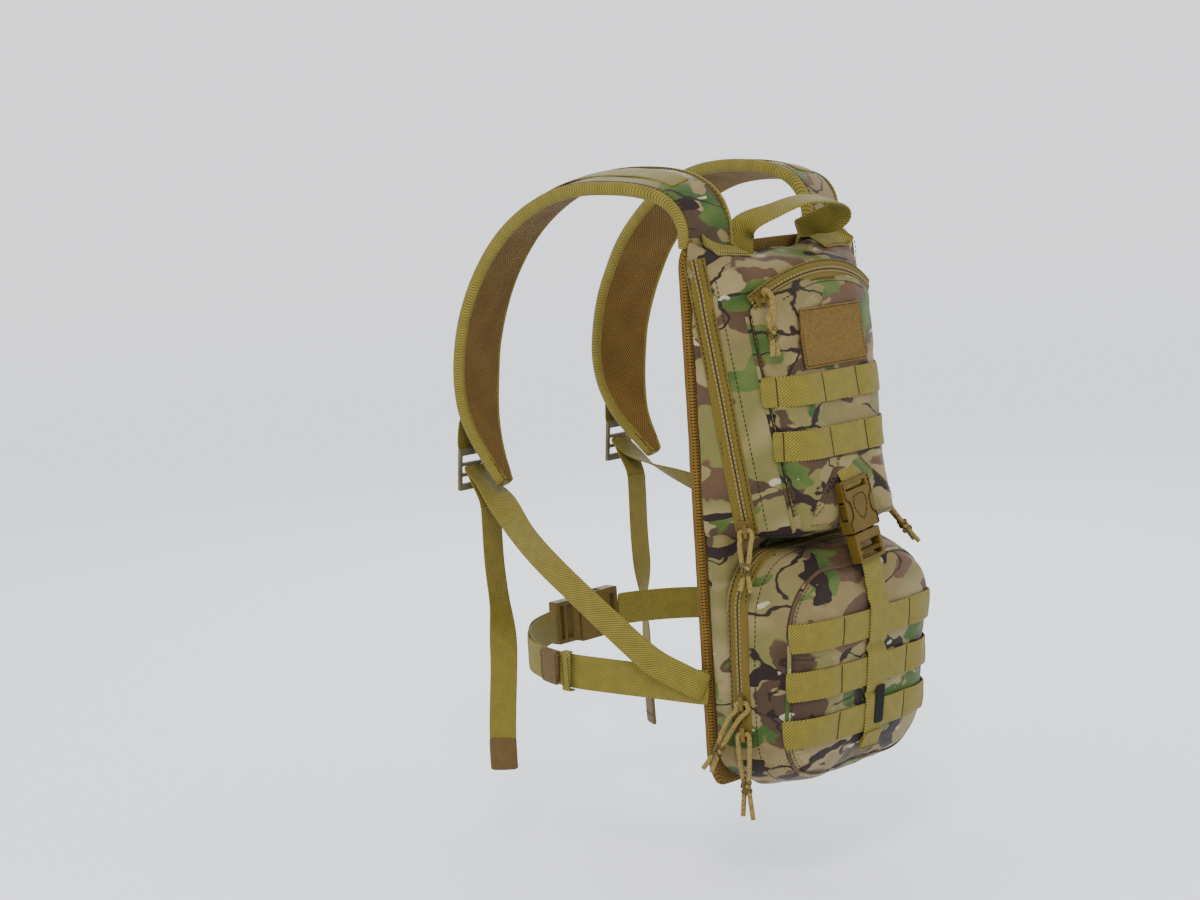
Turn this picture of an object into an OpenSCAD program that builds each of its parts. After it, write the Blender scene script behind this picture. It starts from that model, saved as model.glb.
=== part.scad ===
// Two-strap hydration backpack with zipped compartments, webbing rows and a waist belt.
// Frame: millimetres, +Z up, the wearer stands on the +Y side, the wearer's left is -X.
// The origin is the middle of the wearer's face of the back panel.

/* [Body] */
// Half of the back panel's width
back_half_w = 108; // [104:1:112]
// Height of the back panel's top edge above the origin
back_top = 240; // [236:1:242]
// Depth of the back panel's bottom edge below the origin
back_bottom = 216; // [210:1:220]
// Thickness of the padded back panel
back_pad = 10; // [9.5:0.5:10]
// Thickness that stands for the sewn fabric of a shell
wall = 2.5; // [2:0.25:3]

/* [Pouch] */
// Depth at which the lower pouch starts, behind the back face of the pack
pouch_back = 30; // [28:1:32]
// Half of the pouch's width at its back
pouch_half_w = 105; // [102:1:106]
// Half of the pouch's width at its front
pouch_front_half_w = 88; // [84:1:90]

/* [Webbing] */
// Width of the webbing of the rows, handle and shoulder adjusters
web_w = 25; // [24:0.5:26]
// Width of the waist belt
belt_w = 30; // [28:0.5:30]
// Thickness of one layer of webbing
web_t = 1.6; // [1.4:0.1:1.8]
// Width of the zip tape
tape_w = 19; // [18:0.5:20]

/* [Hidden] */

camo = "#8a7a55";
olive = "#a89a4c";
tan = "#9a8448";
coyote = "#7a5f2a";
brown = "#6b5128";
stone = "#8f8568";
grey = "#555555";
drab = "#6a6a50";
black = "#1c1f1a";

gap = 0.3;
thin = 0.1;
// Height of the outer face of a row, tape or patch above the shell that it is sewn to
row_top = 2.2;
tape_top = 2;
patch_top = 2.4;

// Upper pack: front corner posts and the flat middle of its front, at the bottom and the top
shell_back = -back_pad;
upper_bottom = -4;
corner_low = [62, -80];
corner_high = [81, -51];
corner_top = 208;
front_low_y = -88.5;
front_slope = 0.132;
front_flat = 45;
front_top = 224;
pocket_depth = 13;
side_taper = atan2(back_half_w - corner_low[0], shell_back - corner_low[1]);

function front_y(z) = front_low_y + front_slope * (z - upper_bottom);

// Side zip: distance from the back edge along the side, at its two ends
zip_low = [39, -4];
zip_high = [8, 232];
zip_dir = (zip_high - zip_low) / norm(zip_high - zip_low);
slider_up = 8;

// Lower pouch: its front plane runs from the top edge to the bottom edge
pouch_top = -16;
pouch_front_top = [-102, -36];
pouch_front_bottom = [-80, -204];
pouch_lean = atan2(pouch_front_bottom[0] - pouch_front_top[0], pouch_front_top[1] - pouch_front_bottom[1]);
pouch_zip_y = -42.5;
pouch_taper = atan2(pouch_half_w - pouch_front_half_w, -pouch_back - pouch_front_bottom[0]);

// Arched pocket zip: a circle about a horizontal-ish axis, with its crown in the middle
arch_crown = [0, -66.8, 213];
arch_r = 137;
arch_lean = 26;
arch_half = 34;
// Angle from the arch's axis to the face that it lies on
arch_face = arch_lean + atan(front_slope);
// Where the pocket slider is parked, and how much closer it sits to its tape
pocket_start = -31;
slider_sunk = 1.2;

// Buckles
buckle_at = [-6, -97, 3];
buckle_lean = -9.5;
buckle_roll = -6.5;
belt_buckle_at = [0, 232, -107];
belt_buckle_scale = 1.15;

// Waist line: an ellipse round the wearer, with a straight lead from the side seam
waist_c = 120;
waist_a = 145;
waist_b = 112;
belt_root = [-109, -9, -128];
belt_rise = 0.085;

function unit(v) = v / norm(v);
function at(p, i) = p[max(0, min(len(p) - 1, i))];
function bend(a, b, c, d, t) =
    0.5 * (2 * b + (c - a) * t + (2 * a - 5 * b + 4 * c - d) * t * t + (3 * b - a - 3 * c + d) * t * t * t);
// Smooth curve through hand-chosen points, with n steps between each pair
function curve(p, n) = concat(
    [for (i = [0:len(p) - 2]) for (k = [0:n - 1]) bend(at(p, i - 1), p[i], p[i + 1], at(p, i + 2), k / n)],
    [p[len(p) - 1]]);
function tangent(p, i) = unit(at(p, i + 1) - at(p, i - 1));
function across(p, n, i) = unit(cross(tangent(p, i), n[i]));
function level(p, n, i) = cross(across(p, n, i), tangent(p, i));

// Faces of a closed tube of m-sided rings
function ring_faces(count, m) = concat(
    [[for (k = [m - 1:-1:0]) k]],
    [for (i = [0:count - 2]) for (k = [0:m - 1]) [i * m + k, i * m + (k + 1) % m, (i + 1) * m + (k + 1) % m]],
    [for (i = [0:count - 2]) for (k = [0:m - 1]) [i * m + k, (i + 1) * m + (k + 1) % m, (i + 1) * m + k]],
    [[for (k = [0:m - 1]) (count - 1) * m + k]]);

// Flat band along points p with normals n, half widths h, between two heights along the normal
module band(p, n, h, low, high) {
    rings = [for (i = [0:len(p) - 1])
        let (s = across(p, n, i) * h[i], u = level(p, n, i))
        each [p[i] - s + u * low, p[i] - s + u * high, p[i] + s + u * high, p[i] + s + u * low]];
    polyhedron(rings, ring_faces(len(p), 4));
}

// Round cord along points p
module cord(p, d, ref) {
    sides = 8;
    rings = [for (i = [0:len(p) - 1])
        let (t = tangent(p, i), a = unit(cross(t, ref)), b = cross(t, a))
        for (k = [0:sides - 1]) p[i] + (a * cos(360 * k / sides) - b * sin(360 * k / sides)) * d / 2];
    polyhedron(rings, ring_faces(len(p), sides));
}

module mirrored() { mirror([1, 0, 0]) children(); }

// Outline with four corner radii, standing in the XZ plane and t thick along Y
module outline(half, low, high, r_low, r_high, t) {
    rotate([90, 0, 0]) linear_extrude(t, center = true) hull() {
        for (s = [-1, 1]) {
            translate([s * (half - r_low), low + r_low]) circle(r_low, $fn = 32);
            translate([s * (half - r_high), high - r_high]) circle(r_high, $fn = 32);
        }
    }
}

// Upper wedge, grown outwards by g
module upper_form(g) {
    hull() {
        translate([0, shell_back - thin / 2 + min(g, 0), 0])
            outline(back_half_w + g, upper_bottom - g, back_top + g, 8, 20, thin);
        for (s = [-1, 1]) {
            translate([s * (corner_low[0] + g * 0.7), corner_low[1] - g * 0.7, upper_bottom - g])
                cube([thin, thin, thin], center = true);
            translate([s * (corner_high[0] + g * 0.7), corner_high[1] - g * 0.7, corner_top + g])
                cube([thin, thin, thin], center = true);
            translate([s * front_flat, front_y(upper_bottom - g) - g, upper_bottom - g])
                cube([thin, thin, thin], center = true);
            translate([s * front_flat * 0.5, front_y(front_top + g) - g, front_top + g])
                cube([thin, thin, thin], center = true);
            translate([s * front_flat, front_y(corner_top + 8 + g) - g, corner_top + 8 + g])
                cube([thin, thin, thin], center = true);
        }
    }
}

// Everything more than d behind the upper front plane
module behind_front(d) {
    translate([0, front_y(0) + d, 0]) rotate([-atan(front_slope), 0, 0])
        translate([-200, 0, -300]) cube([400, 300, 700]);
}

// Lower part of the main compartment, behind the pouch
module lower_form(g) {
    translate([0, -(back_pad + pouch_back) / 2, 0])
        outline(pouch_half_w + g, -back_bottom - g, upper_bottom + 8, 35, 8, pouch_back - back_pad + 2 * g);
}

// Lower pouch, grown outwards by g
module pouch_form(g) {
    hull() {
        translate([0, -pouch_back - gap - thin / 2 + min(g, 0), 0])
            outline(pouch_half_w + g, -back_bottom - g, pouch_top + g, 40, 45, thin);
        translate([0, pouch_front_top[0] - g, pouch_front_top[1]]) rotate([pouch_lean, 0, 0])
            outline(pouch_front_half_w + g, pouch_front_bottom[1] - pouch_front_top[1] - g, g, 45, 45, thin);
    }
}

// Layer over the upper wedge or the pouch between two heights, cut by its children
module upper_layer(low, high) {
    intersection() {
        difference() {
            upper_form(high);
            upper_form(low);
        }
        children();
    }
}

module pouch_layer(low, high) {
    intersection() {
        difference() {
            pouch_form(high);
            pouch_form(low);
        }
        children();
    }
}

// Slab across the pack between two heights, in front of depth y
module slab(low, high, y) {
    translate([-150, y - 200, low]) cube([300, 200, high - low]);
}

// Frame on the left side: x forward along the side, y up, z outwards
module on_side(x, y, taper, u, v) {
    translate([x, y, 0]) rotate([90, 0, taper - 90]) translate([u, v, 0]) children();
}

// ---- Back panel ----
module back_mesh() {
    color(brown) translate([0, -2.5, 0]) outline(back_half_w - 0.5, -back_bottom + 1, back_top - 1, 36, 20, 5);
}

module back_foam() {
    color(grey) translate([0, -(5 + back_pad) / 2, 0])
        outline(back_half_w - 8, -back_bottom + 10, back_top - 10, 32, 16, back_pad - 5 - 2 * gap);
}

// ---- Main compartment ----
module main_shell() {
    color(camo) difference() {
        union() {
            intersection() {
                upper_form(0);
                behind_front(pocket_depth + gap);
            }
            lower_form(0);
        }
        intersection() {
            upper_form(-wall);
            behind_front(pocket_depth + gap + wall);
        }
        lower_form(-wall);
        for (s = [0, 1]) mirror([s, 0, 0]) side_slit();
    }
}

// Slit in the side wall that the zip closes
module side_slit() {
    on_side(-back_half_w, shell_back, side_taper, 0, 0)
        linear_extrude(20, center = true)
            polygon([zip_low + [-4, 14], zip_low + [4, 14], zip_high + [10, -44], zip_high + [2, -44]]);
}

module bladder_sleeve() {
    color(drab) translate([0, -22, 0]) outline(92, -200, 150, 25, 10, 1.5);
}

module side_zip() {
    upper_layer(gap, tape_top) on_side(-back_half_w, shell_back, side_taper, 0, 0)
        linear_extrude(24, center = true)
            polygon([zip_low - [tape_w / 2, -1], zip_low + [tape_w / 2, 1], zip_high + [tape_w / 2, -4],
                zip_high - [tape_w / 2, 4]]);
}

module side_zip_left() { color(tan) side_zip(); }
module side_zip_right() { color(tan) mirrored() side_zip(); }

// Zip slider: x across, y along the zip, z outwards, with a bridge for the cord
bridge_z = 8.2;
cord_d = 3;
knot_r = 4.6;
module slider() {
    difference() {
        union() {
            translate([-5, -8, 2.6]) cube([10, 16, 2.2]);
            translate([-1.8, -6, 4.7]) cube([3.6, 12, 6.4]);
        }
        translate([-3, -2.6, 5.8]) cube([6, 5.2, 4.4]);
    }
}

module on_side_zip(v) {
    t = (v - zip_low[1]) / (zip_high[1] - zip_low[1]);
    on_side(-back_half_w, shell_back, side_taper, zip_low[0] + t * (zip_high[0] - zip_low[0]), v)
        rotate([0, 0, -atan2(zip_dir[0], zip_dir[1])]) children();
}

side_slider_z = slider_up - 4;
module side_slider_left() { color(tan) on_side_zip(side_slider_z) slider(); }
module side_slider_right() { color(tan) mirrored() on_side_zip(side_slider_z) slider(); }

// Cord pull: a loop through the slider's bridge, its knot and two tails.
// o is the bridge, a the direction across, d the way it hangs, k the knot's distance, e the tails' reach
module pull(o, a, d, k, e) {
    half = 4.5;
    ref = cross(a, d);
    // The legs leave the bridge square to the cord in it
    h = d - a * (a * d);
    // An unchanged size merges the cord and its knot into one mesh
    resize([0, 0, 0]) {
        cord([o - a * (half + 1), o, o + a * (half + 1)], cord_d, ref);
        for (s = [-1, 1])
            cord([o + a * s * half - h, o + a * s * (half + 0.4) + h * 6.5, o + a * s * half + d * k * 0.35,
                o + a * s * 2.6 + d * k * 0.75,
                o + a * s * 1.6 + d * k, o + a * s * 2.6 + d * (k + 9), o + a * s * 4 + d * e], cord_d, ref);
        translate(o + d * k) sphere(knot_r, $fn = 16);
    }
}

side_out = [-cos(side_taper), -sin(side_taper), 0];
side_fwd = [sin(side_taper), -cos(side_taper), 0];
side_zip_across = side_fwd * zip_dir[1] - [0, 0, 1] * zip_dir[0];
side_u = zip_low[0] + (side_slider_z - zip_low[1]) / (zip_high[1] - zip_low[1]) * (zip_high[0] - zip_low[0]);
side_bridge = [-back_half_w, shell_back, side_slider_z] + side_fwd * side_u + side_out * bridge_z;
down = [0, 0, -1];

// It hangs over the pouch's shoulder
module side_pull_left() {
    color(tan) pull(side_bridge, side_zip_across, unit(down + side_out * 0.4), 33, 52);
}
module side_pull_right() {
    color(tan) mirrored() pull(side_bridge, side_zip_across, unit(down + side_out * 0.75), 33, 52);
}

// ---- Front pocket: open at the back, where the main compartment's front panel closes it ----
module front_pocket() {
    color(camo) difference() {
        union() {
            intersection() {
                upper_form(0);
                in_front(pocket_depth);
            }
            hull() arch_band(-4.5, -1.1);
        }
        intersection() {
            upper_form(-wall);
            in_front(pocket_depth + wall);
        }
        // Mouth, under the zip
        translate([-45, -59, 200]) cube([90, 8, 40]);
    }
}

// Everything less than d behind the upper front plane
module in_front(d) {
    translate([0, front_y(0) + d, 0]) rotate([-atan(front_slope), 0, 0])
        translate([-200, -300, -300]) cube([400, 300, 700]);
}

// The arch's own directions: its axis, and outwards from its centre at an angle from the crown
arch_axis = [0, -cos(arch_lean), -sin(arch_lean)];
arch_up = [0, -sin(arch_lean), cos(arch_lean)];
function arch_radial(a) = arch_up * cos(a) + [sin(a), 0, 0];
function arch_point(a) = arch_crown - arch_up * arch_r + arch_radial(a) * (arch_r - 2);
function arch_out(a) = arch_axis * cos(arch_face) + arch_radial(a) * sin(arch_face);

// Strip along the arch between two heights
module arch_band(low, high) {
    steps = 16;
    angles = [for (i = [0:steps]) -arch_half + 2 * arch_half * i / steps];
    band([for (a = angles) arch_point(a)], [for (a = angles) arch_out(a)],
        [for (a = angles) tape_w / 2 - 1], low, high);
}
module pocket_zip() { color(tan) arch_band(-web_t / 2, web_t / 2); }

module pocket_slider() {
    color(tan) translate(arch_crown - arch_up * arch_r) rotate(a = -pocket_start, v = arch_axis)
        translate(arch_up * (arch_r - 2)) rotate([90 - arch_face + arch_lean, 0, 0]) rotate([0, 0, -90])
            translate([0, 0, -slider_sunk]) slider();
}

pocket_bridge = arch_point(pocket_start) + arch_out(pocket_start) * (bridge_z - slider_sunk);
// Cord through the slider's bridge: one leg comes over its front, the other from below
module pocket_pull() {
    o = pocket_bridge;
    f = arch_out(pocket_start);
    r = unit(arch_radial(pocket_start) - f * (arch_radial(pocket_start) * f));
    d = unit([0, -front_slope, -1]);
    x = [1, 0, 0];
    over = [o, o + r * 4.6, o + r * 6.8 + f * 2.8, o + r * 4.6 + f * 6.4, o - r + f * 6.6,
        o + d * 14 + f * 3.6 + x * 1.5, o + d * 28 + x * 1.3, o + d * 38 + x * 2, o + d * 48 + x * 3.5];
    under = [o, o - r * 4.8 + f * 0.6, o - r * 8 + f * 2.4, o + d * 16 + f * 1.4 - x * 1.8, o + d * 28 - x * 1.3,
        o + d * 38 - x * 2, o + d * 48 - x * 4];
    color(tan) resize([0, 0, 0]) {
        cord(curve(over, 2), cord_d, x);
        cord(curve(under, 2), cord_d, x);
        translate(o + d * 30) sphere(knot_r, $fn = 16);
    }
}

module loop_patch() {
    color(coyote) upper_layer(gap, patch_top) translate([-41, -150, 131]) cube([82, 150, 50]);
}

module pocket_row(z) {
    color(olive) upper_layer(gap, row_top) slab(z - web_w / 2, z + web_w / 2, corner_low[1] + 22);
}
module pocket_webbing_upper() { pocket_row(116); }
module pocket_webbing_lower() { pocket_row(71); }

module yoke() {
    color(camo) upper_layer(gap, tape_top) rotate([90, 0, 0]) linear_extrude(200)
        polygon([[-66, 2], [66, 2], [60, 14], [14, 55], [-18, 55], [-60, 14]]);
}

// ---- Side-release buckle: z along the webbing towards the female end, -y outwards ----
module buckle_female() {
    difference() {
        translate([-19, -5.5, -8]) cube([38, 11, 44]);
        translate([-16, -3.6, -9]) cube([32, 7.2, 33]);
        for (s = [-1, 1]) translate([s * 15 - 5, -3.6, 3]) cube([10, 7.2, 16]);
        translate([-13.5, -6, 27]) cube([27, 12, 5]);
    }
}

module buckle_male() {
    difference() {
        union() {
            translate([-17, -5, -34]) cube([34, 10, 24.8]);
            translate([-2.5, -3, -9.4]) cube([5, 6, 30]);
        }
        translate([-13.5, -6, -31]) cube([27, 12, 4]);
        translate([-13.5, -6, -24]) cube([27, 12, 7]);
    }
}

module buckle_prong() {
    translate([9.5, -3, -8.6]) cube([3, 6, 26]);
    translate([12.4, -3, 4]) cube([6, 6, 13.4]);
}

module at_front_buckle() {
    translate(buckle_at) rotate([buckle_lean, buckle_roll, 0]) children();
}
module front_buckle_female() { color(coyote) at_front_buckle() buckle_female(); }
module front_buckle_male() { color(coyote) at_front_buckle() buckle_male(); }
module front_prong_right() { color(coyote) at_front_buckle() buckle_prong(); }
module front_prong_left() { color(coyote) at_front_buckle() mirrored() buckle_prong(); }

module buckle_loop() {
    color(olive) at_front_buckle() translate([-web_w / 2, 0, 37]) cube([web_w, web_t, 15]);
}

module closure_strap() {
    color(olive) {
        pouch_layer(2.8, 4.4) translate([-web_w / 2, -150, -200]) cube([web_w, 100, 160]);
        at_front_buckle() translate([-web_w / 2, -web_t / 2, -47]) cube([web_w, web_t, 12]);
    }
}

module label() {
    color(black) pouch_layer(4.7, 5.6) translate([-1, -150, -172]) cube([12, 100, 34]);
}

// ---- Lower pouch ----
module pouch_shell() {
    color(camo) difference() {
        pouch_form(0);
        pouch_form(-wall);
        translate([-120, pouch_zip_y - 4, -150]) cube([240, 8, 160]);
    }
}

module pouch_front() {
    color(camo) pouch_layer(gap, 0.3 + gap) translate([-95, -150, -210]) cube([190, 150 - 76, 180]);
}

module pouch_zip() {
    color(tan) pouch_layer(gap, tape_top)
        translate([-130, pouch_zip_y - tape_w / 2, -165]) cube([260, tape_w, 170]);
}

module on_pouch_side(v) {
    on_side(-pouch_half_w, -pouch_back, pouch_taper, (-pouch_back - pouch_zip_y) / cos(pouch_taper), v) children();
}

pouch_slider_z = [-137, -163];
pouch_lift = 1.4;
module pouch_slider(z) { color(tan) on_pouch_side(z) translate([0, 0, pouch_lift]) slider(); }
module pouch_slider_upper() { pouch_slider(pouch_slider_z[0]); }
module pouch_slider_lower() { pouch_slider(pouch_slider_z[1]); }

pouch_out = [-cos(pouch_taper), -sin(pouch_taper), 0];
pouch_fwd = [sin(pouch_taper), -cos(pouch_taper), 0];
function pouch_bridge(z) = [-pouch_half_w, -pouch_back, z]
    + pouch_fwd * (-pouch_back - pouch_zip_y) / cos(pouch_taper) + pouch_out * (bridge_z + pouch_lift);

module pouch_pull_upper() {
    color(tan) pull(pouch_bridge(pouch_slider_z[0]), pouch_fwd, unit([-0.2, 0.55, -1]), 46, 68);
}
module pouch_pull_lower() {
    color(tan) pull(pouch_bridge(pouch_slider_z[1]), pouch_fwd, down, 44, 72);
}

module pouch_row(z) {
    color(olive) pouch_layer(0.9, 2.5) slab(z - web_w / 2, z + web_w / 2, -74);
}
module pouch_webbing_1() { pouch_row(-83); }
module pouch_webbing_2() { pouch_row(-124); }
module pouch_webbing_3() { pouch_row(-164); }

// ---- Top bands and grab handle ----
module top_band() {
    upper_layer(gap, row_top) translate([-94.5, shell_back - 2 - web_w, 222]) cube([42.5, web_w, 40]);
}
module top_band_left() { color(olive) top_band(); }
module top_band_right() { color(olive) mirrored() top_band(); }

// The handle's webbing is folded in to this half width
grip_half = 8.5;
module grab_handle() {
    points = [[-38, -10, 248], [-37, -17, 254], [-24, -34, 262], [2, -48, 269], [28, -56, 267],
        [45, -55, 258], [46, -42, 251], [42, -26, 249.5], [40, -14, 248.5]];
    ups = [[-1, 0.2, 0.1], [-0.9, 0, 0.5], [-0.4, -0.3, 0.9], [0, -0.3, 1], [0.4, -0.3, 0.9],
        [1, 0, 0.3], [1, 0.3, -0.2], [0.9, 0.3, 0.1], [0.9, 0.3, 0]];
    path = curve(points, 3);
    normals = curve(ups, 3);
    color(olive) band(path, normals, [for (p = path) grip_half], -web_t / 2, web_t / 2);
}

// ---- Shoulder straps ----
strap_route = [[-77, -8, 243], [-78, -8, 257], [-80, -2, 272], [-83, 12, 284], [-86, 34, 291], [-88, 62, 294],
    [-90, 92, 294], [-91, 120, 290], [-92, 146, 281], [-93, 170, 268], [-94, 192, 251], [-94, 212, 230],
    [-95, 228, 206], [-95, 241, 180], [-95, 250, 152], [-95, 254, 124], [-96, 253, 96], [-97, 245, 70],
    [-99, 232, 48], [-100, 221, 32]];
strap_half = [27, 27, 28, 29, 31, 32, 32, 32, 32, 32, 32, 32, 32, 32, 31, 30, 26, 19, 12, 7];
strap_tilt = 10;
strap_t = 12;

// Outward normals of the strap: square to its run, leaning to the outer side
function strap_normals(p) = [for (i = [0:len(p) - 1])
    let (t = tangent(p, i), up = unit([0, -t[2], t[1]])) up * cos(strap_tilt) + [-1, 0, 0] * sin(strap_tilt)];

module strap_layer(route, half, low, high) {
    band(route, strap_normals(route), half, low, high);
}
strap_path = curve(strap_route, 2);
strap_w = curve(strap_half, 2);

module strap_pad() { color(camo) strap_layer(strap_path, strap_w, -strap_t / 2 + 2.3, strap_t / 2); }
module strap_lining() {
    color(brown) strap_layer(strap_path, [for (w = strap_w) w - 1], -strap_t / 2, -strap_t / 2 + 2);
}
// Flat webbing along the crest, and two low loops further down
module strap_webbing() {
    n = strap_normals(strap_path);
    color(olive) for (span = [[8, 16], [28, 29], [31, 32]]) {
        part = [for (i = [span[0]:span[1]]) strap_path[i]];
        ups = [for (i = [span[0]:span[1]]) n[i]];
        band(part, ups, [for (p = part) web_w / 2], strap_t / 2 + gap, strap_t / 2 + gap + 1.8);
    }
}

lock_at = [-98, 264, 44];
module ladder_lock() {
    color(stone) translate(lock_at) rotate([6, 0, 0]) difference() {
        translate([-17, -1.75, -19]) cube([34, 3.5, 38]);
        for (z = [-13, -3.5, 6]) translate([-13.5, -5, z]) cube([27, 10, 6.5]);
    }
}
module lock_loop() {
    path = curve([[-96, 263.5, 91], [-97, 266, 83], [-98, 267.5, 72], [-98, 268, 64]], 2);
    color(olive) band(path, [for (p = path) [0, 1, 0]], [for (p = path) web_w / 2], -web_t / 2, web_t / 2);
}

adjuster_route = [[-115, -5, -125], [-121, 8, -118], [-131, 30, -105], [-143, 55, -80], [-148, 92, -51], [-145, 135, -24],
    [-132, 170, -8], [-116, 203, 8], [-104, 228, 20], [-99, 246, 31], [-98, 259, 41]];
adjuster_up = [[-1, -0.3, 0], [-1, -0.3, 0], [-1, -0.3, 0], [-1, -0.2, 0], [-1, 0, 0.1], [-1, 0.2, 0.3], [-0.8, 0.4, 0.5],
    [-0.6, 0.3, 0.8], [-0.3, 0, 1], [0, -0.3, 1], [0, -0.4, 1]];
module adjuster() {
    path = curve(adjuster_route, 3);
    normals = curve(adjuster_up, 3);
    back = curve([[-98, 259.5, 41.5], [-98, 255, 33], [-98, 249, 23], [-98, 245, 17], [-98, tail_y, 13.6]], 2);
    color(olive) {
        flat_band(path, normals);
        // Its end, back out of the lock
        flat_band(back, [for (p = back) [0, 1, 0.01]]);
    }
}
module flat_band(path, normals) {
    band(path, normals, [for (p = path) web_w / 2], -web_t / 2, web_t / 2);
}

tail_y = 244;
module tail() {
    color(olive) translate([-98 - web_w / 2, tail_y - web_t / 2, -232]) cube([web_w, web_t, 244]);
}

module strap_pad_left() { strap_pad(); }
module strap_pad_right() { mirrored() strap_pad(); }
module strap_lining_left() { strap_lining(); }
module strap_lining_right() { mirrored() strap_lining(); }
module strap_webbing_left() { strap_webbing(); }
module strap_webbing_right() { mirrored() strap_webbing(); }
module ladder_lock_left() { ladder_lock(); }
module ladder_lock_right() { mirrored() ladder_lock(); }
module lock_loop_left() { lock_loop(); }
module lock_loop_right() { mirrored() lock_loop(); }
module adjuster_left() { adjuster(); }
module adjuster_right() { mirrored() adjuster(); }
module tail_left() { tail(); }
module tail_right() { mirrored() tail(); }

// ---- Waist belt ----
waist_tangent = 76.5;
function waist_z(y) = belt_root[2] + belt_rise * (y - belt_root[1]);
function waist_point(a, out) = let (y = waist_c - (waist_b + out) * cos(a))
    [-(waist_a + out) * sin(a), y, waist_z(y)];
function waist_out(a) = unit([-waist_b * sin(a), -waist_a * cos(a), 0]);

// One layer of the belt over the angles between first and last, raised by out
module belt_arc(first, last, out) {
    steps = 16;
    angles = [for (i = [0:steps]) first + (last - first) * i / steps];
    band([for (a = angles) waist_point(a, out)], [for (a = angles) waist_out(a)],
        [for (a = angles) belt_w / 2], -web_t / 2, web_t / 2);
}

module belt_half() {
    steps = 16;
    last = 163;
    angles = [for (i = [0:steps]) waist_tangent + (last - waist_tangent) * i / steps];
    lead = [for (t = [0, 0.35, 0.7]) belt_root + (waist_point(waist_tangent, 0) - belt_root) * t];
    path = concat(lead, [for (a = angles) waist_point(a, 0)]);
    normals = concat([for (p = lead) waist_out(waist_tangent)], [for (a = angles) waist_out(a)]);
    band(path, normals, [for (p = path) belt_w / 2], -web_t / 2, web_t / 2);
}

module belt_left() {
    color(olive) {
        belt_half();
        belt_arc(88, 163, 2.2);
    }
}
module belt_right() { color(olive) mirrored() belt_half(); }
module belt_keeper() { color(olive) belt_arc(84, 90, 5); }

module at_belt_buckle() {
    translate(belt_buckle_at) rotate([180, 0, 0]) rotate([0, 90, 0]) scale(belt_buckle_scale) children();
}
module belt_buckle_female() { color(coyote) at_belt_buckle() buckle_female(); }
module belt_buckle_male() { color(coyote) at_belt_buckle() buckle_male(); }
module belt_prong_right() { color(coyote) at_belt_buckle() buckle_prong(); }
module belt_prong_left() { color(coyote) at_belt_buckle() mirrored() buckle_prong(); }

back_mesh();
back_foam();
main_shell();
bladder_sleeve();
side_zip_left();
side_zip_right();
side_slider_left();
side_slider_right();
side_pull_left();
side_pull_right();
front_pocket();
pocket_zip();
pocket_slider();
pocket_pull();
loop_patch();
pocket_webbing_upper();
pocket_webbing_lower();
yoke();
buckle_loop();
front_buckle_female();
front_buckle_male();
front_prong_left();
front_prong_right();
closure_strap();
label();
pouch_shell();
pouch_front();
pouch_zip();
pouch_slider_upper();
pouch_slider_lower();
pouch_pull_upper();
pouch_pull_lower();
pouch_webbing_1();
pouch_webbing_2();
pouch_webbing_3();
top_band_left();
top_band_right();
grab_handle();
strap_pad_left();
strap_lining_left();
strap_webbing_left();
ladder_lock_left();
lock_loop_left();
adjuster_left();
tail_left();
strap_pad_right();
strap_lining_right();
strap_webbing_right();
ladder_lock_right();
lock_loop_right();
adjuster_right();
tail_right();
belt_left();
belt_right();
belt_keeper();
belt_buckle_female();
belt_buckle_male();
belt_prong_left();
belt_prong_right();
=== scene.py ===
import math

import bmesh
import bpy
import numpy as np
from mathutils import Matrix, Vector, noise
from mathutils.bvhtree import BVHTree


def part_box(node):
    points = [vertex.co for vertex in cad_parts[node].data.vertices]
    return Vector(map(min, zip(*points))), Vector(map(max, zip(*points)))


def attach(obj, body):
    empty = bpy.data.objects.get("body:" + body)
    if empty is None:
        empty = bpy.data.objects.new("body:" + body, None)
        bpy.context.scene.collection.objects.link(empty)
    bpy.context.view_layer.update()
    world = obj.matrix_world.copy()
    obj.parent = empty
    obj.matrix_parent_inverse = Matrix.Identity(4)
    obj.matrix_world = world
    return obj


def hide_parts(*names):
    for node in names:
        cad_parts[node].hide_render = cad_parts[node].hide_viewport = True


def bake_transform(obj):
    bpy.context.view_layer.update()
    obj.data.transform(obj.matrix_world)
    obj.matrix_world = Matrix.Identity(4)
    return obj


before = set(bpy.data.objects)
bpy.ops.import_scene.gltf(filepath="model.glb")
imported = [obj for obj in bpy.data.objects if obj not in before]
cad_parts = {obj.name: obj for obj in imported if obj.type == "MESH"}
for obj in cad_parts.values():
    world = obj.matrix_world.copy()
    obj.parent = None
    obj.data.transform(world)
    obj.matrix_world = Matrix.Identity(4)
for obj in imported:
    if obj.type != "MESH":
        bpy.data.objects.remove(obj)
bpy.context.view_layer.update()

MM = 0.001
DOWN = Vector((0, 0, -1))


def V(*p):
    return Vector(p)


def clamp(x, low=0.0, high=1.0):
    return max(low, min(high, x))


def smooth(x):
    x = clamp(x)
    return x * x * (3 - 2 * x)


def lerp(a, b, t):
    return a + (b - a) * t


# ---------------------------------------------------------------- camera, floor and lights
camera = bpy.data.objects.new("camera", bpy.data.cameras.new("camera"))
bpy.context.scene.collection.objects.link(camera)
camera.matrix_world = Matrix((
    (0.6747, 0.1342, -0.7258, -1.6957),
    (-0.7355, 0.0386, -0.6765, -1.3829),
    (-0.0628, 0.9902, 0.1248, 0.3407),
    (0, 0, 0, 1)))
camera.data.lens = 77.2
camera.data.sensor_width = 36
camera.data.clip_start = 0.05
bpy.context.scene.camera = camera


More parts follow.
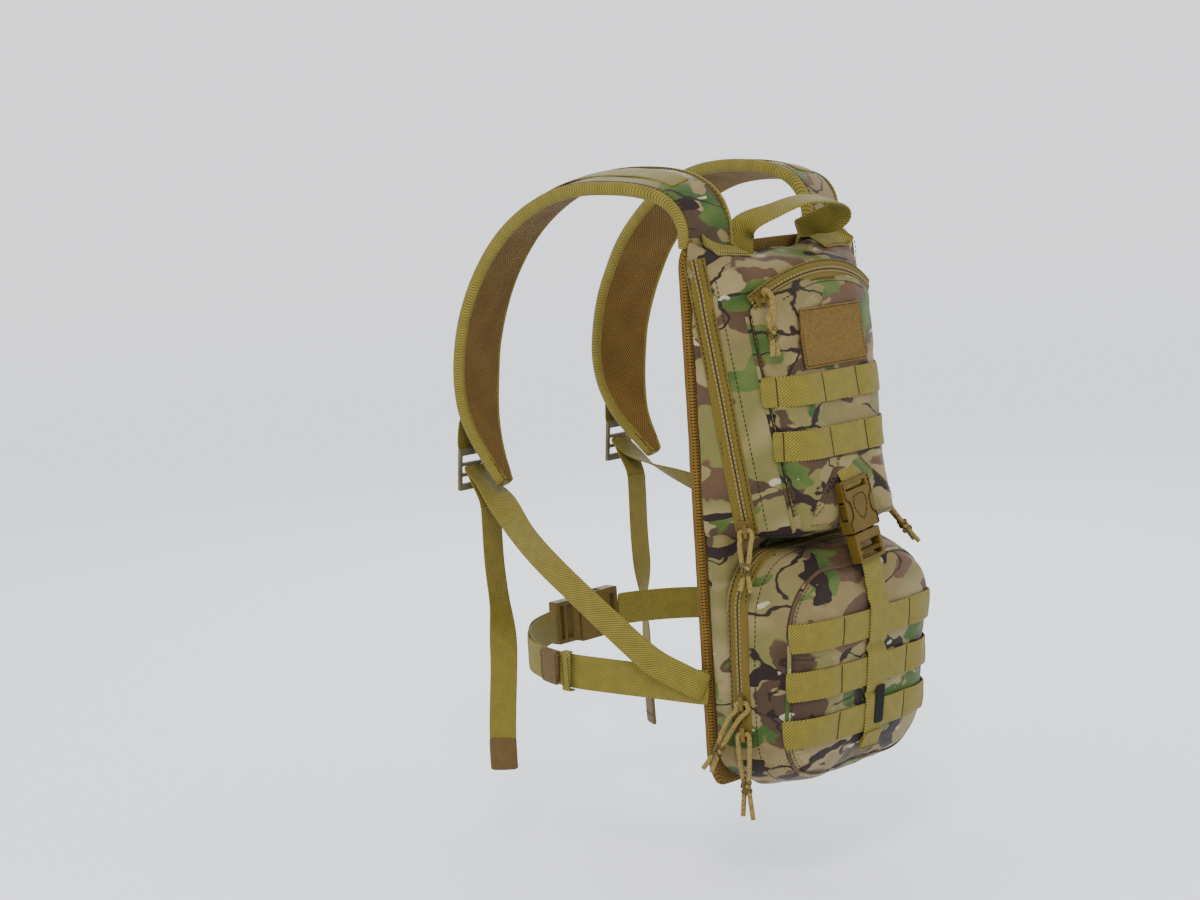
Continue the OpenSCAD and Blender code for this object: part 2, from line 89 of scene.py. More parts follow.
def area_light(name, at, target, size, power):
    data = bpy.data.lights.new(name, "AREA")
    data.shape = "DISK"
    data.size = size
    data.energy = power
    ob = bpy.data.objects.new(name, data)
    ob.location = at
    ob.rotation_euler = (Vector(target) - Vector(at)).to_track_quat("-Z", "Y").to_euler()
    bpy.context.scene.collection.objects.link(ob)


area_light("key", (-1.9, -1.5, 1.9), (0, 0.05, 0.0), 0.7, 44)
area_light("front", (0.9, -2.2, 0.5), (0, 0, 0), 1.0, 9)
area_light("rim", (1.6, 1.4, 1.3), (0, 0.1, 0), 1.0, 14)
area_light("left", (-2.2, 1.2, 0.6), (0, 0.1, 0), 1.2, 8)

# ---------------------------------------------------------------- materials


class Graph:
    """A material's node tree, with short calls for its nodes."""

    def __init__(self, name):
        self.material = bpy.data.materials.new(name)
        self.material.use_nodes = True
        self.tree = self.material.node_tree
        self.shader = self.tree.nodes["Principled BSDF"]

    def add(self, kind, settings=None, **inputs):
        node = self.tree.nodes.new(kind)
        for key, value in (settings or {}).items():
            setattr(node, key, value)
        for key, value in inputs.items():
            self.feed(node, int(key[1:]) if key[0] == "i" and key[1:].isdigit() else key, value)
        return node

    def feed(self, node, key, value):
        socket = node.inputs[key]
        if isinstance(value, bpy.types.NodeSocket):
            self.tree.links.new(value, socket)
        else:
            socket.default_value = value

    def math(self, operation, a, b=0.0, c=0.0):
        return self.add("ShaderNodeMath", {"operation": operation}, i0=a, i1=b, i2=c).outputs[0]

    def vector(self, operation, a, b):
        return self.add("ShaderNodeVectorMath", {"operation": operation}, i0=a, i1=b).outputs[0]

    def mix(self, factor, a, b, blend="MIX"):
        node = self.add("ShaderNodeMix", {"data_type": "RGBA", "blend_type": blend})
        self.feed(node, 0, factor)
        self.feed(node, 6, a)
        self.feed(node, 7, b)
        return node.outputs[2]

    def ramp(self, value, low, high):
        return self.add("ShaderNodeMapRange", {"clamp": True}, Value=value, i1=low, i2=high).outputs[0]

    def noise(self, at, scale, detail=2.0, rough=0.5, distort=0.0, offset=0.0):
        if offset:
            at = self.vector("ADD", at, (offset, offset * 1.7, offset * 0.6))
        return self.add("ShaderNodeTexNoise", Vector=at, Scale=scale, Detail=detail, Roughness=rough,
                        Distortion=distort).outputs[0]

    def wave(self, at, scale, direction="DIAGONAL"):
        return self.add("ShaderNodeTexWave", {"bands_direction": direction}, Vector=at, Scale=scale,
                        Distortion=0.0).outputs["Fac"]

    def voronoi(self, at, scale):
        return self.add("ShaderNodeTexVoronoi", {"feature": "F1"}, Vector=at, Scale=scale).outputs[0]

    def attribute(self, name):
        return self.add("ShaderNodeAttribute", {"attribute_name": name}).outputs["Vector"]

    def object(self):
        return self.add("ShaderNodeTexCoord").outputs["Object"]

    def bump(self, height, strength, distance, after=None):
        node = self.add("ShaderNodeBump", Height=height, Strength=strength, Distance=distance)
        if after is not None:
            self.feed(node, "Normal", after)
        return node.outputs[0]

    def finish(self, colour, rough, normal=None, sheen=0.0, specular=0.5):
        self.feed(self.shader, "Base Color", colour)
        self.feed(self.shader, "Roughness", rough)
        self.shader.inputs["Sheen Weight"].default_value = sheen * HAZE
        self.shader.inputs["Sheen Roughness"].default_value = 0.5
        self.shader.inputs["Specular IOR Level"].default_value = specular * HAZE
        if normal is not None:
            self.feed(self.shader, "Normal", normal)
        return self.material


# Share of each colour's brightness kept under the bright studio, and of the sheen and gloss
SHADE = 0.53
HAZE = 0.3


def rgb(r, g, b, shade=SHADE):
    """Linear colour of an sRGB one, 0 to 255, darkened for the bright studio."""
    return tuple(shade * (((c / 255 + 0.055) / 1.055) ** 2.4 if c > 10 else c / 255 / 12.92) for c in (r, g,
            b)) + (1.0,)


def camo_material(name, shift=0.0):
    """Camouflage print on twill. Each cloth shifts the print, so that the pieces differ."""
    g = Graph(name)
    at = g.attribute("rc")
    place = g.vector("MULTIPLY", at, (1.0, 1.0, 1.7))
    warp = g.add("ShaderNodeTexNoise", Vector=place, Scale=42.0, Detail=2.0).outputs[1]
    warp = g.vector("SUBTRACT", warp, (0.5, 0.5, 0.5))
    warp = g.add("ShaderNodeVectorMath", {"operation": "SCALE"}, i0=warp, Scale=0.022).outputs[0]
    p = g.vector("ADD", place, warp)

    def patch(scale, threshold, offset, soft=0.006, detail=1.0, distort=0.0):
        n = g.noise(p, scale, detail, 0.45, distort, offset + shift)
        return g.ramp(n, threshold - soft, threshold + soft)

    colour = g.mix(g.ramp(g.noise(place, 9.0, 1.0, offset=1.3 + shift), 0.40, 0.62), rgb(152, 130, 86),
                   rgb(136, 130, 72))
    colour = g.mix(g.ramp(g.noise(place, 13.0, 1.0, offset=4.1 + shift), 0.50, 0.66), colour,
                   rgb(170, 152, 104))
    brown = patch(15.0, 0.535, 7.7)
    fade = g.mix(g.ramp(g.noise(place, 11.0, 1.0, offset=2.2), 0.42, 0.6), rgb(112, 84, 60), rgb(88, 68, 50))
    colour = g.mix(brown, colour, fade)
    green = patch(17.0, 0.60, 3.9)
    colour = g.mix(green, colour, g.mix(g.ramp(g.noise(place, 16.0, offset=8.8), 0.4, 0.6), rgb(70, 100, 42),
                                        rgb(112, 126, 62)))
    colour = g.mix(patch(27.0, 0.655, 12.5), colour, rgb(158, 140, 92))
    dark = patch(21.0, 0.64, 17.3, detail=1.0, distort=0.6)
    colour = g.mix(dark, colour, rgb(50, 36, 33))
    twig = g.math("ABSOLUTE", g.math("SUBTRACT", g.noise(p, 12.0, 1.0, offset=21.0 + shift), 0.5))
    twig = g.math("SUBTRACT", 1.0, g.ramp(twig, 0.008, 0.014))
    twig = g.math("MULTIPLY", twig, patch(10.0, 0.53, 25.0))
    colour = g.mix(twig, colour, rgb(56, 42, 36))
    colour = g.mix(patch(40.0, 0.715, 31.0), colour, rgb(206, 196, 162))
    # Twill of the cloth, and its slight unevenness
    twill = g.wave(at, 500.0)
    weave = g.wave(at, 780.0, "Z")
    cloth = g.mix(g.ramp(twill, 0.0, 1.0), (0.74, 0.74, 0.74, 1), (1.1, 1.1, 1.1, 1))
    colour = g.mix(1.0, colour, cloth, "MULTIPLY")
    wear = g.noise(at, 60.0, 4.0, 0.6)
    colour = g.mix(1.0, colour, g.mix(g.ramp(wear, 0.3, 0.7), (0.92, 0.92, 0.92, 1), (1.06, 1.06, 1.06, 1)),
                   "MULTIPLY")
    normal = g.bump(g.noise(at, 220.0, 3.0), 0.25, 0.0006)
    normal = g.bump(g.math("ADD", twill, g.math("MULTIPLY", weave, 0.4)), 0.35, 0.00025, normal)
    return g.finish(colour, g.ramp(wear, -1.2, 2.2), normal, 0.12, 0.35)


# A wave texture's scale for one band a metre, along an axis and along a diagonal
BAND_WAVE = 0.314
SLANT_WAVE = 0.628
DIAGONAL_STEP = 1.414


def webbing_material(name, base, dark):
    """Ribbed webbing: attribute wv holds the distance along it and across it."""
    g = Graph(name)
    at = g.attribute("wv")
    diagonal = g.wave(at, SLANT_WAVE / (0.0019 * DIAGONAL_STEP))
    cross = g.wave(at, BAND_WAVE / 0.0009, "X")
    rows = g.wave(at, BAND_WAVE / 0.0016, "Y")
    tone = g.mix(g.ramp(diagonal, 0.15, 0.85), dark, base)
    uneven = g.noise(at, 90.0, 3.0)
    tone = g.mix(1.0, tone, g.mix(g.ramp(uneven, 0.3, 0.7), (0.88, 0.88, 0.86, 1), (1.08, 1.08, 1.06, 1)),
                 "MULTIPLY")
    fine = g.mix(g.ramp(cross, 0.0, 1.0), (0.86, 0.86, 0.86, 1), (1.05, 1.05, 1.05, 1))
    tone = g.mix(1.0, tone, fine, "MULTIPLY")
    fine_ribs = g.math("ADD", g.math("MULTIPLY", cross, 0.35), g.math("MULTIPLY", rows, 0.2))
    height = g.math("ADD", g.math("MULTIPLY", diagonal, 0.6), fine_ribs)
    normal = g.bump(height, 0.6, 0.0004)
    return g.finish(tone, 0.62, normal, 0.15, 0.4)


def plain_cloth(name, base, dark, use="rc"):
    """Fine plain weave, laid out by attribute rc, the resting place, or wv."""
    g = Graph(name)
    at = g.attribute(use)
    a = g.wave(at, BAND_WAVE / 0.0008, "Z")
    b = g.wave(at, SLANT_WAVE / 0.0012)
    n = g.noise(at, 900.0, 2.0)
    tone = g.mix(g.ramp(g.math("ADD", g.math("MULTIPLY", a, 0.4), g.math("MULTIPLY", n, 0.6)), 0.25, 0.75),
                 dark, base)
    normal = g.bump(g.math("ADD", g.math("ADD", a, b), n), 0.4, 0.0003)
    return g.finish(tone, 0.8, normal, 0.15, 0.35)


def coil_material(name, base, dark):
    """Turns of a zip's coil, from the distance along it and across it, with painted light on the turns and
    painted shade between them, along the middle and at the sides.
    """
    g = Graph(name)
    at = g.attribute("wv")
    turns = g.wave(at, BAND_WAVE / 0.0015, "X")
    across = g.add("ShaderNodeSeparateXYZ", Vector=at).outputs[1]
    from_mid = g.math("ABSOLUTE", across)
    # Painted shade: the gaps between turns, the line where the two rows of turns meet and the coil's sides
    # go to the dark colour
    middle = g.ramp(from_mid, 0.0003, 0.0009)
    edge = g.math("SUBTRACT", 1.0, g.ramp(from_mid, 0.0024, 0.0031))
    painted_turn_light = g.math("MULTIPLY_ADD", g.ramp(turns, 0.25, 0.75), 0.6, 0.4)
    share = g.math("MULTIPLY", g.math("MULTIPLY", painted_turn_light, middle), edge)
    tone = g.mix(share, dark, base)
    normal = g.bump(share, 0.8, 0.0008)
    return g.finish(tone, 0.45, normal, 0.0, 0.5)


def mesh_material(name):
    """Spacer mesh: diagonal rows of small open cells, darkened with painted shade, laid out by attribute wv.
    """
    g = Graph(name)
    at = g.attribute("wv")
    place = g.vector("MULTIPLY", at, (1.0, 1.5, 0.0))
    other = g.vector("MULTIPLY", place, (1.0, -1.0, 0.0))
    rows = g.math("ADD", g.wave(place, SLANT_WAVE / 0.0040), g.wave(other, SLANT_WAVE / 0.0040))
    # Painted shade: the open cells are filled with a near-black brown
    cell_shade_mask = g.ramp(rows, 1.15, 1.55)
    yarn = g.mix(g.ramp(g.noise(at, 30.0), 0.35, 0.65), rgb(132, 98, 38), rgb(146, 112, 48))
    tone = g.mix(g.math("MULTIPLY", cell_shade_mask, 0.85), yarn, rgb(34, 23, 10))
    normal = g.bump(g.math("SUBTRACT", 1.0, cell_shade_mask), 0.8, 0.0012)
    normal = g.bump(g.noise(at, 1400.0, 2.0), 0.3, 0.0003, normal)
    return g.finish(tone, 0.85, normal, 0.15, 0.3)


def pile_material(name):
    """Small loops of a hook-and-loop field."""
    g = Graph(name)
    at = g.attribute("rc")
    loops = g.voronoi(at, 1500.0)
    clump = g.noise(at, 260.0, 3.0)
    tone = g.mix(g.ramp(g.math("ADD", g.math("MULTIPLY", loops, 0.6), g.math("MULTIPLY", clump, 0.6)), 0.3,
                        0.85),
                 rgb(112, 84, 18), rgb(158, 122, 40))
    normal = g.bump(g.math("ADD", loops, clump), 0.9, 0.0012)
    return g.finish(tone, 0.95, normal, 0.3, 0.2)


def plastic_material(name, base, edge):
    """Moulded plastic or paint with a fine grain."""
    g = Graph(name)
    at = g.object()
    tone = g.mix(g.ramp(g.noise(at, 60.0, 3.0), 0.35, 0.7), base, edge)
    grain = g.noise(at, 2600.0, 2.0)
    normal = g.bump(grain, 0.16, 0.0002)
    return g.finish(tone, g.ramp(g.noise(at, 130.0, 2.0), -1.0, 2.4), normal, 0.0, 0.5)


def cord_material(name, base, dark):
    """Braided cord."""
    g = Graph(name)
    at = g.object()
    braid = g.voronoi(g.vector("MULTIPLY", at, (1.0, 1.0, 0.55)), 1150.0)
    tone = g.mix(g.ramp(braid, 0.3, 0.8), base, dark)
    normal = g.bump(g.math("SUBTRACT", 1.0, braid), 0.5, 0.0005)
    return g.finish(tone, 0.7, normal, 0.15, 0.35)


CAMO = camo_material("camo_cloth")
CAMO_B = camo_material("camo_cloth_b", 5.3)
CAMO_C = camo_material("camo_cloth_c", 9.1)
WEB = webbing_material("olive_webbing", rgb(164, 148, 62), rgb(118, 104, 36))
WEB_TAN = webbing_material("tan_webbing", rgb(136, 108, 62), rgb(92, 70, 38))
TAPE = plain_cloth("zip_tape_cloth", rgb(158, 138, 62), rgb(116, 98, 38), use="wv")
# The coil's dark colour is painted shade for the gaps between its turns, its middle and its sides
COIL = coil_material("zip_coil_nylon", rgb(172, 150, 82), rgb(44, 36, 16))
MESH = mesh_material("spacer_mesh_knit")
PILE = pile_material("loop_pile_fabric")
BUCKLE = plastic_material("coyote_acetal", rgb(104, 82, 22), rgb(116, 92, 30))
LOCK = plastic_material("stone_nylon", rgb(122, 112, 84), rgb(102, 92, 66))
SLIDER = plastic_material("enamelled_slider", rgb(126, 102, 42), rgb(102, 82, 32))
CORD = cord_material("tan_cord", rgb(176, 152, 84), rgb(122, 100, 46))
THREAD = plain_cloth("olive_thread", rgb(128, 110, 44), rgb(78, 64, 22))
# Dark thread, also laid as painted shade in the creases beside the seams' folds
SEAM_THREAD_AND_SHADE = plain_cloth("dark_thread_and_crease_shade", rgb(74, 62, 34), rgb(44, 36, 18))
LABEL = plain_cloth("black_label_cloth", rgb(20, 22, 18), rgb(10, 12, 9))
LINING = plain_cloth("drab_lining", rgb(110, 104, 78), rgb(86, 80, 58))

# ---------------------------------------------------------------- mesh helpers


def make(name, verts, faces, material, slot, body, nodes=(), levels=0, wv=None):
    """A mesh object from points in millimetres."""
    me = bpy.data.meshes.new(name)
    me.from_pydata([tuple(c * MM for c in v) for v in verts], [], faces)
    me.update()
    me.polygons.foreach_set("use_smooth", [True] * len(me.polygons))
    rest = me.attributes.new("rc", "FLOAT_VECTOR", "POINT")
    rest.data.foreach_set("vector", np.array([v.co for v in me.vertices], np.float32).ravel())
    if wv is not None:
        a = me.attributes.new("wv", "FLOAT_VECTOR", "POINT")
        a.data.foreach_set("vector", (np.array(wv, np.float32) * MM).ravel())
    me.materials.append(material)
    ob = bpy.data.objects.new(name, me)
    bpy.context.scene.collection.objects.link(ob)
    if levels:
        m = ob.modifiers.new("smooth", "SUBSURF")
        m.levels = m.render_levels = levels
    if body:
        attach(ob, body)
    if nodes:
        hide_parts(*nodes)
    return ob


def curve(points, n):
    """Smooth run through points, n steps between each pair."""
    p = [Vector(q) for q in points]
    out = []
    for i in range(len(p) - 1):
        a, b, c, d = p[max(i - 1, 0)], p[i], p[i + 1], p[min(i + 2, len(p) - 1)]
        for k in range(n):
            t = k / n
            square = (2 * a - 5 * b + 4 * c - d) * t * t
            cube = (3 * b - a - 3 * c + d) * t ** 3
            out.append(0.5 * (2 * b + (c - a) * t + square + cube))
    return out + [p[-1]]


def tangents(p):
    return [(p[min(i + 1, len(p) - 1)] - p[max(i - 1, 0)]).normalized() for i in range(len(p))]


def frames(path, ups):
    """Across and outward directions along a path."""
    out = []
    for t, u in zip(tangents(path), ups):
        s = t.cross(Vector(u)).normalized()
        out.append((s, s.cross(t)))
    return out


def lengths(path):
    s = [0.0]
    for a, b in zip(path, path[1:]):
        s.append(s[-1] + (b - a).length)
    return s


def resample(path, ups, step):
    """The same path with even steps."""
    s = lengths(path)
    count = max(2, int(round(s[-1] / step)))
    new, nu, j = [], [], 0
    for k in range(count + 1):
        t = s[-1] * k / count
        while j < len(s) - 2 and s[j + 1] < t:
            j += 1
        w = (t - s[j]) / max(1e-9, s[j + 1] - s[j])
        new.append(path[j].lerp(path[j + 1], clamp(w)))
        nu.append(Vector(ups[j]).lerp(Vector(ups[j + 1]), clamp(w)))
    return new, nu


def loft(rings, close=True, caps=True):
    """Faces of rings of equal length."""
    m = len(rings[0])
    verts = [v for r in rings for v in r]
    faces = []
    for i in range(len(rings) - 1):
        for k in range(m if close else m - 1):
            a, b = i * m + k, i * m + (k + 1) % m
            faces.append((a, b, b + m, a + m))
    if caps and close:
        faces.append(tuple(range(m - 1, -1, -1)))
        faces.append(tuple((len(rings) - 1) * m + k for k in range(m)))
    return verts, faces


def strap_profile(half, t):
    """Cross-section of webbing: flat, with rounded edges."""
    e = t / 2
    xs = [-half + e * 0.3, -half + e, -half * 0.5, 0, half * 0.5, half - e, half - e * 0.3]
    lift = [0.55, 1, 1, 1, 1, 1, 0.55]
    top = [(x, e * l) for x, l in zip(xs, lift)]
    return [(-half, 0)] + top + [(half, 0)] + [(x, -y) for x, y in reversed(top)]


def ribbon(name, path, ups, half, t, material, body, slot="webbing", nodes=(), step=3.0, ripple=0.0,
           seed=0.0, blend=None):
    """Webbing along a path, ups pointing out of its face."""
    path, ups = resample(path, ups, step)
    run = lengths(path)
    rings, wv = [], []
    for (p, (s, u), l) in zip(path, frames(path, ups), run):
        h = half(l / run[-1]) if callable(half) else half
        ring = []
        for x, y in strap_profile(h, t):
            wave = ripple * noise.noise(Vector((l * 0.03 + seed, x * 0.04, seed)))
            ring.append(p + s * x + u * (y + wave))
            wv.append((l, x, 0))
        rings.append(ring)
    verts, faces = loft(rings)
    ob = make(name, verts, faces, material, slot, None if blend else body, nodes, levels=1, wv=wv)
    if blend:
        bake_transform(ob)
    return ob


def stitches(name, lines, body, pitch=4.2, length=2.9, radius=0.38, material=None, slot="webbing",
             blend=None):
    """Rows of thread dashes. Each line is (points, outward directions)."""
    verts, faces = [], []
    for path, ups in lines:
        path, ups = resample([Vector(p) for p in path], ups, pitch)
        for (a, b, u) in zip(path, path[1:], ups):
            d = (b - a)
            if d.length < 1e-6:
                continue
            d = d.normalized()
            mid = (a + b) / 2
            u = Vector(u).normalized()
            s = d.cross(u).normalized()
            base = len(verts)
            for k, w in ((-0.5, 0.25), (-0.32, 1.0), (0.32, 1.0), (0.5, 0.25)):
                for x, y in ((-1, -0.6), (-0.7, 0.7), (0.7, 0.7), (1, -0.6)):
                    verts.append(mid + d * (length * k) + (s * x + u * (y * w + 0.1)) * radius)
            for i in range(3):
                for j in range(4):
                    q = base + i * 4
                    faces.append((q + j, q + (j + 1) % 4, q + 4 + (j + 1) % 4, q + 4 + j))
            faces.append((base + 3, base + 2, base + 1, base))
            faces.append((base + 12, base + 13, base + 14, base + 15))
    ob = make(name, verts, faces, material or THREAD, slot, None if blend else body,
              wv=[(v[0] + v[1], v[2], 0) for v in verts])
    if blend:
        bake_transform(ob)
    return ob


def tree_of(*obs):
    """What rays hit: the final faces of these pieces, in millimetres."""
    verts, faces = [], []
    graph = bpy.context.evaluated_depsgraph_get()
    for ob in obs:
        e = ob.evaluated_get(graph)
        me = e.to_mesh()
        base = len(verts)
        verts += [(ob.matrix_world @ v.co) * 1000 for v in me.vertices]
        faces += [tuple(base + i for i in p.vertices) for p in me.polygons]
        e.to_mesh_clear()
    return BVHTree.FromPolygons(verts, faces)


def hit_at(tree, p, out):
    """Where a ray through p, coming in against out, meets the fabric."""
    reach = 25.0
    return tree.ray_cast(p + out * reach, -out, reach * 2.2)[0] if tree else None


def drop(tree, p, out):
    """The point of the fabric under p, looking in from outside."""
    hit = hit_at(tree, p, out)
    return hit if hit is not None else p


def landed(tree, points, out):
    """The points of the fabric under a row of points, without those that miss it."""
    hits = [hit_at(tree, p, out) for p in points]
    return [hit for hit in hits if hit is not None]


def smoothed(rows, window):
    """Each column of rows averaged over a window, with its ends held."""
    pad = window // 2
    rows = np.vstack([np.repeat(rows[:1], pad, 0), rows, np.repeat(rows[-1:], pad, 0)])
    return np.stack([np.convolve(column, np.ones(window) / window, "valid") for column in rows.T], 1)


def box_shell(size, radius, step, place):
    """Closed shell over a box with rounded edges.

    place(a, b, c) takes shares from -1 to 1 across, and from 0 to 1 forward and up.
    """
    hx, hy, hz = (s / 2 for s in size)
    nx, ny, nz = (max(2, int(round(s / step))) for s in size)
    index, verts, faces = {}, [], []

    def vert(i, j, k):
        if (i, j, k) not in index:
            p = Vector((-hx + 2 * hx * i / nx, -hy + 2 * hy * j / ny, -hz + 2 * hz * k / nz))
            q = Vector([clamp(v, -h + radius, h - radius) for v, h in zip(p, (hx, hy, hz))])
            d = p - q
            if d.length > 1e-6:
                p = q + d.normalized() * radius
            index[(i, j, k)] = len(verts)
            verts.append(place(p.x / hx, (p.y + hy) / (2 * hy), (p.z + hz) / (2 * hz)))
        return index[(i, j, k)]

    for i in range(nx):
        for j in range(ny):
            faces.append((vert(i, j, 0), vert(i, j + 1, 0), vert(i + 1, j + 1, 0), vert(i + 1, j, 0)))
            faces.append((vert(i, j, nz), vert(i + 1, j, nz), vert(i + 1, j + 1, nz), vert(i, j + 1, nz)))
    for i in range(nx):
        for k in range(nz):
            faces.append((vert(i, 0, k), vert(i + 1, 0, k), vert(i + 1, 0, k + 1), vert(i, 0, k + 1)))
            faces.append((vert(i, ny, k), vert(i, ny, k + 1), vert(i + 1, ny, k + 1), vert(i + 1, ny, k)))
    for j in range(ny):
        for k in range(nz):
            faces.append((vert(0, j, k), vert(0, j, k + 1), vert(0, j + 1, k + 1), vert(0, j + 1, k)))
            faces.append((vert(nx, j, k), vert(nx, j + 1, k), vert(nx, j + 1, k + 1), vert(nx, j, k + 1)))
    return verts, faces


def fractal(p, scale, seed=0.0):
    """Noise of three sizes at a point, the largest of the given scale in millimetres."""
    q = Vector(p) / scale + Vector((seed, seed * 0.7, -seed))
    return noise.noise(q) + 0.5 * noise.noise(q * 2.1) + 0.25 * noise.noise(q * 4.3)


def crumple(verts, faces, amount):
    """Moves each point along its normal by amount(point, normal)."""
    me = bpy.data.meshes.new("scratch")
    me.from_pydata([tuple(v) for v in verts], [], faces)
    bm = bmesh.new()
    bm.from_mesh(me)
    bmesh.ops.recalc_face_normals(bm, faces=bm.faces)
    bm.normal_update()
    out = [v.co + v.normal * amount(v.co, v.normal) for v in bm.verts]
    new_faces = [tuple(v.index for v in f.verts) for f in bm.faces]
    bm.free()
    bpy.data.meshes.remove(me)
    return out, new_faces


# ---------------------------------------------------------------- shapes of the pack, in millimetres
BACK_W = 108.0
# Outward directions of the upper front and of the pouch's front, which lean apart
UPPER_FACE = V(0, -0.991, 0.131)
POUCH_FACE = V(0, -0.991, -0.131)
SIDE = math.atan2(46, 70)
SIDE_OUT = V(-math.cos(SIDE), -math.sin(SIDE), 0)
SIDE_FWD = V(math.sin(SIDE), -math.cos(SIDE), 0)
ROW = 25.0


def front_y(z):
    return -88.5 + 0.132 * (z + 4)


def corner_x(z):
    return lerp(62, 81, clamp((z + 4) / 212, -0.05, 1.08))


def corner_y(z):
    return lerp(-80, -51, clamp((z + 4) / 212, -0.05, 1.08))


def front_at(x, z, set_back=0.0):
    """Depth of the upper pack's front at x and z."""
    edge = corner_x(z)
    t = clamp((abs(x) - 38) / (edge - 38))
    y = lerp(front_y(z), corner_y(z), t ** 1.4)
    bulge = smooth((z - 165) / 30) * (1 - smooth((z - 210) / 10)) * 4.0 * (1 - t)
    return y - bulge + set_back


def top_z(a, b):
    back = 233 + 14 * abs(a) ** 2.4
    front = 221 - 4 * abs(a) ** 2
    sag = -3.0 * math.sin(math.pi * b) * (1 - abs(a))
    return lerp(back, front, b) + sag


def upper_place(a, b, c):
    z = lerp(-4, top_z(a, b), c)
    x = a * lerp(BACK_W, corner_x(z), b)
    y = lerp(-10.5, front_at(a * corner_x(z), z, 4.0), b)
    return V(x, y, z)


def folds(p, n):
    """Soft creases of the cloth, calm where something is sewn on."""
    side = smooth((abs(n.x) - 0.3) / 0.4)
    top = smooth((n.z - 0.4) / 0.4) + smooth((p.z - 195) / 30)
    stretch = V(p.x, p.y, p.z * 0.45)
    wander = 2.4 * fractal(p, 55, 9.0)
    crease = 1.5 * math.sin(p.z * 0.13 + p.y * 0.12 + wander) * clamp(side + top) * smooth((p.z - 120) / 60)
    pucker = 0.35 * math.sin(p.z * 0.62) * side
    return (0.9 + 1.6 * side + 1.6 * top) * fractal(stretch, 38, 3.1) + 0.45 * fractal(p, 13,
            8.0) + crease + pucker


def arch_z(x):
    """Height of the pocket zip's line."""
    s = clamp(abs(x) / 135)
    return 89.9 + 135 * 0.8988 * math.sqrt(1 - s * s)


def pocket_place(a, b, c):
    z0 = -3.0
    x = a * lerp(corner_x(40), corner_x(180), c) * 0.985
    z = lerp(z0, arch_z(x) - 2, c)
    x = a * corner_x(z) * 0.985
    y = lerp(front_at(x, z, 13.0), front_at(x, z, 0.0), b)
    return V(x, y, z)


def pocket_folds(p, n):
    puff = 1.6 * (1 - (abs(p.x) / 80) ** 4) * smooth((p.z + 4) / 25) * smooth((215 - p.z) / 14)
    drape = 1.3 * math.sin(p.x * 0.14 + p.z * 0.05 + 2.2 * fractal(p, 60, 3.0)) * smooth((60 - p.z) / 50)
    return puff * clamp(-n.y) + drape + 1.2 * fractal(V(p.x, p.y, p.z * 0.6), 42, 1.7) + 0.4 * fractal(p, 14,
            5.0)


CLOTH_FRAMES = 20


def simulate(ob, pressure, cap, calm):
    """Puffs a shell with Blender's cloth, keeping each point within cap millimetres of where it was.

    calm(point) is from 0, held, to 1, free.
    """
    scene = bpy.context.scene
    me = ob.data
    rest = np.array([v.co for v in me.vertices], float).reshape(-1, 3)
    copy = ob.copy()
    copy.data = me.copy()
    copy.modifiers.clear()
    copy.parent = None
    scene.collection.objects.link(copy)
    cloth = copy.modifiers.new("cloth", "CLOTH")
    s = cloth.settings
    s.quality = 6
    s.mass = 0.3
    s.tension_stiffness = s.compression_stiffness = 12
    s.shear_stiffness = 6
    s.bending_stiffness = 0.6
    s.use_pressure = True
    s.uniform_pressure_force = pressure
    s.effector_weights.gravity = 0
    cloth.collision_settings.use_collision = False
    group = copy.vertex_groups.new(name="held")
    for v in me.vertices:
        group.add([v.index], 1 - calm(v.co * 1000), "REPLACE")
    s.vertex_group_mass = "held"
    s.pin_stiffness = 1.0
    cloth.point_cache.frame_start = 1
    cloth.point_cache.frame_end = CLOTH_FRAMES
    for f in range(1, CLOTH_FRAMES + 1):
        scene.frame_set(f)
    graph = bpy.context.evaluated_depsgraph_get()
    e = copy.evaluated_get(graph)
    moved = np.array([v.co for v in e.to_mesh().vertices], float).reshape(-1, 3)
    e.to_mesh_clear()
    scene.frame_set(1)
    bpy.data.objects.remove(copy)
    d = moved - rest
    size = np.linalg.norm(d, axis=1, keepdims=True)
    d *= np.minimum(1, cap * MM / np.maximum(size, 1e-9))
    me.vertices.foreach_set("co", (rest + d).astype(np.float32).ravel())
    me.update()


# Main compartment: the wedge, and the thin part behind the pouch
verts, faces = crumple(*box_shell((200, 72, 240), 7, 4.6, upper_place), folds)
main_upper = make("main_upper", verts, faces, CAMO, "camo_fabric", "root", ("main_shell",), levels=1)


def lower_place(a, b, c):
    z = lerp(-216, 2, c)
    corner = clamp((-216 + 38 - z) / 38)
    x = a * lerp(106, 103.5, b) * (1 - 0.22 * corner ** 2.2)
    return V(x, lerp(-10.5, -30.5, b), z + 10 * corner * corner * abs(a) ** 6)


verts, faces = crumple(*box_shell((208, 20, 214), 6, 5.0, lower_place), lambda p, n: 0.9 * fractal(p, 34,
        6.0) * (1 - abs(n.y)))
main_lower = make("main_lower", verts, faces, CAMO_B, "camo_fabric", "root", levels=1)

verts, faces = crumple(*box_shell((150, 13, 212), 5.5, 4.2, pocket_place), pocket_folds)
pocket = make("front_pocket_cloth", verts, faces, CAMO_C, "camo_fabric", "root", ("front_pocket",), levels=1)

# ---------------------------------------------------------------- pouch
# Rings round its outline, from the back to the middle of the front


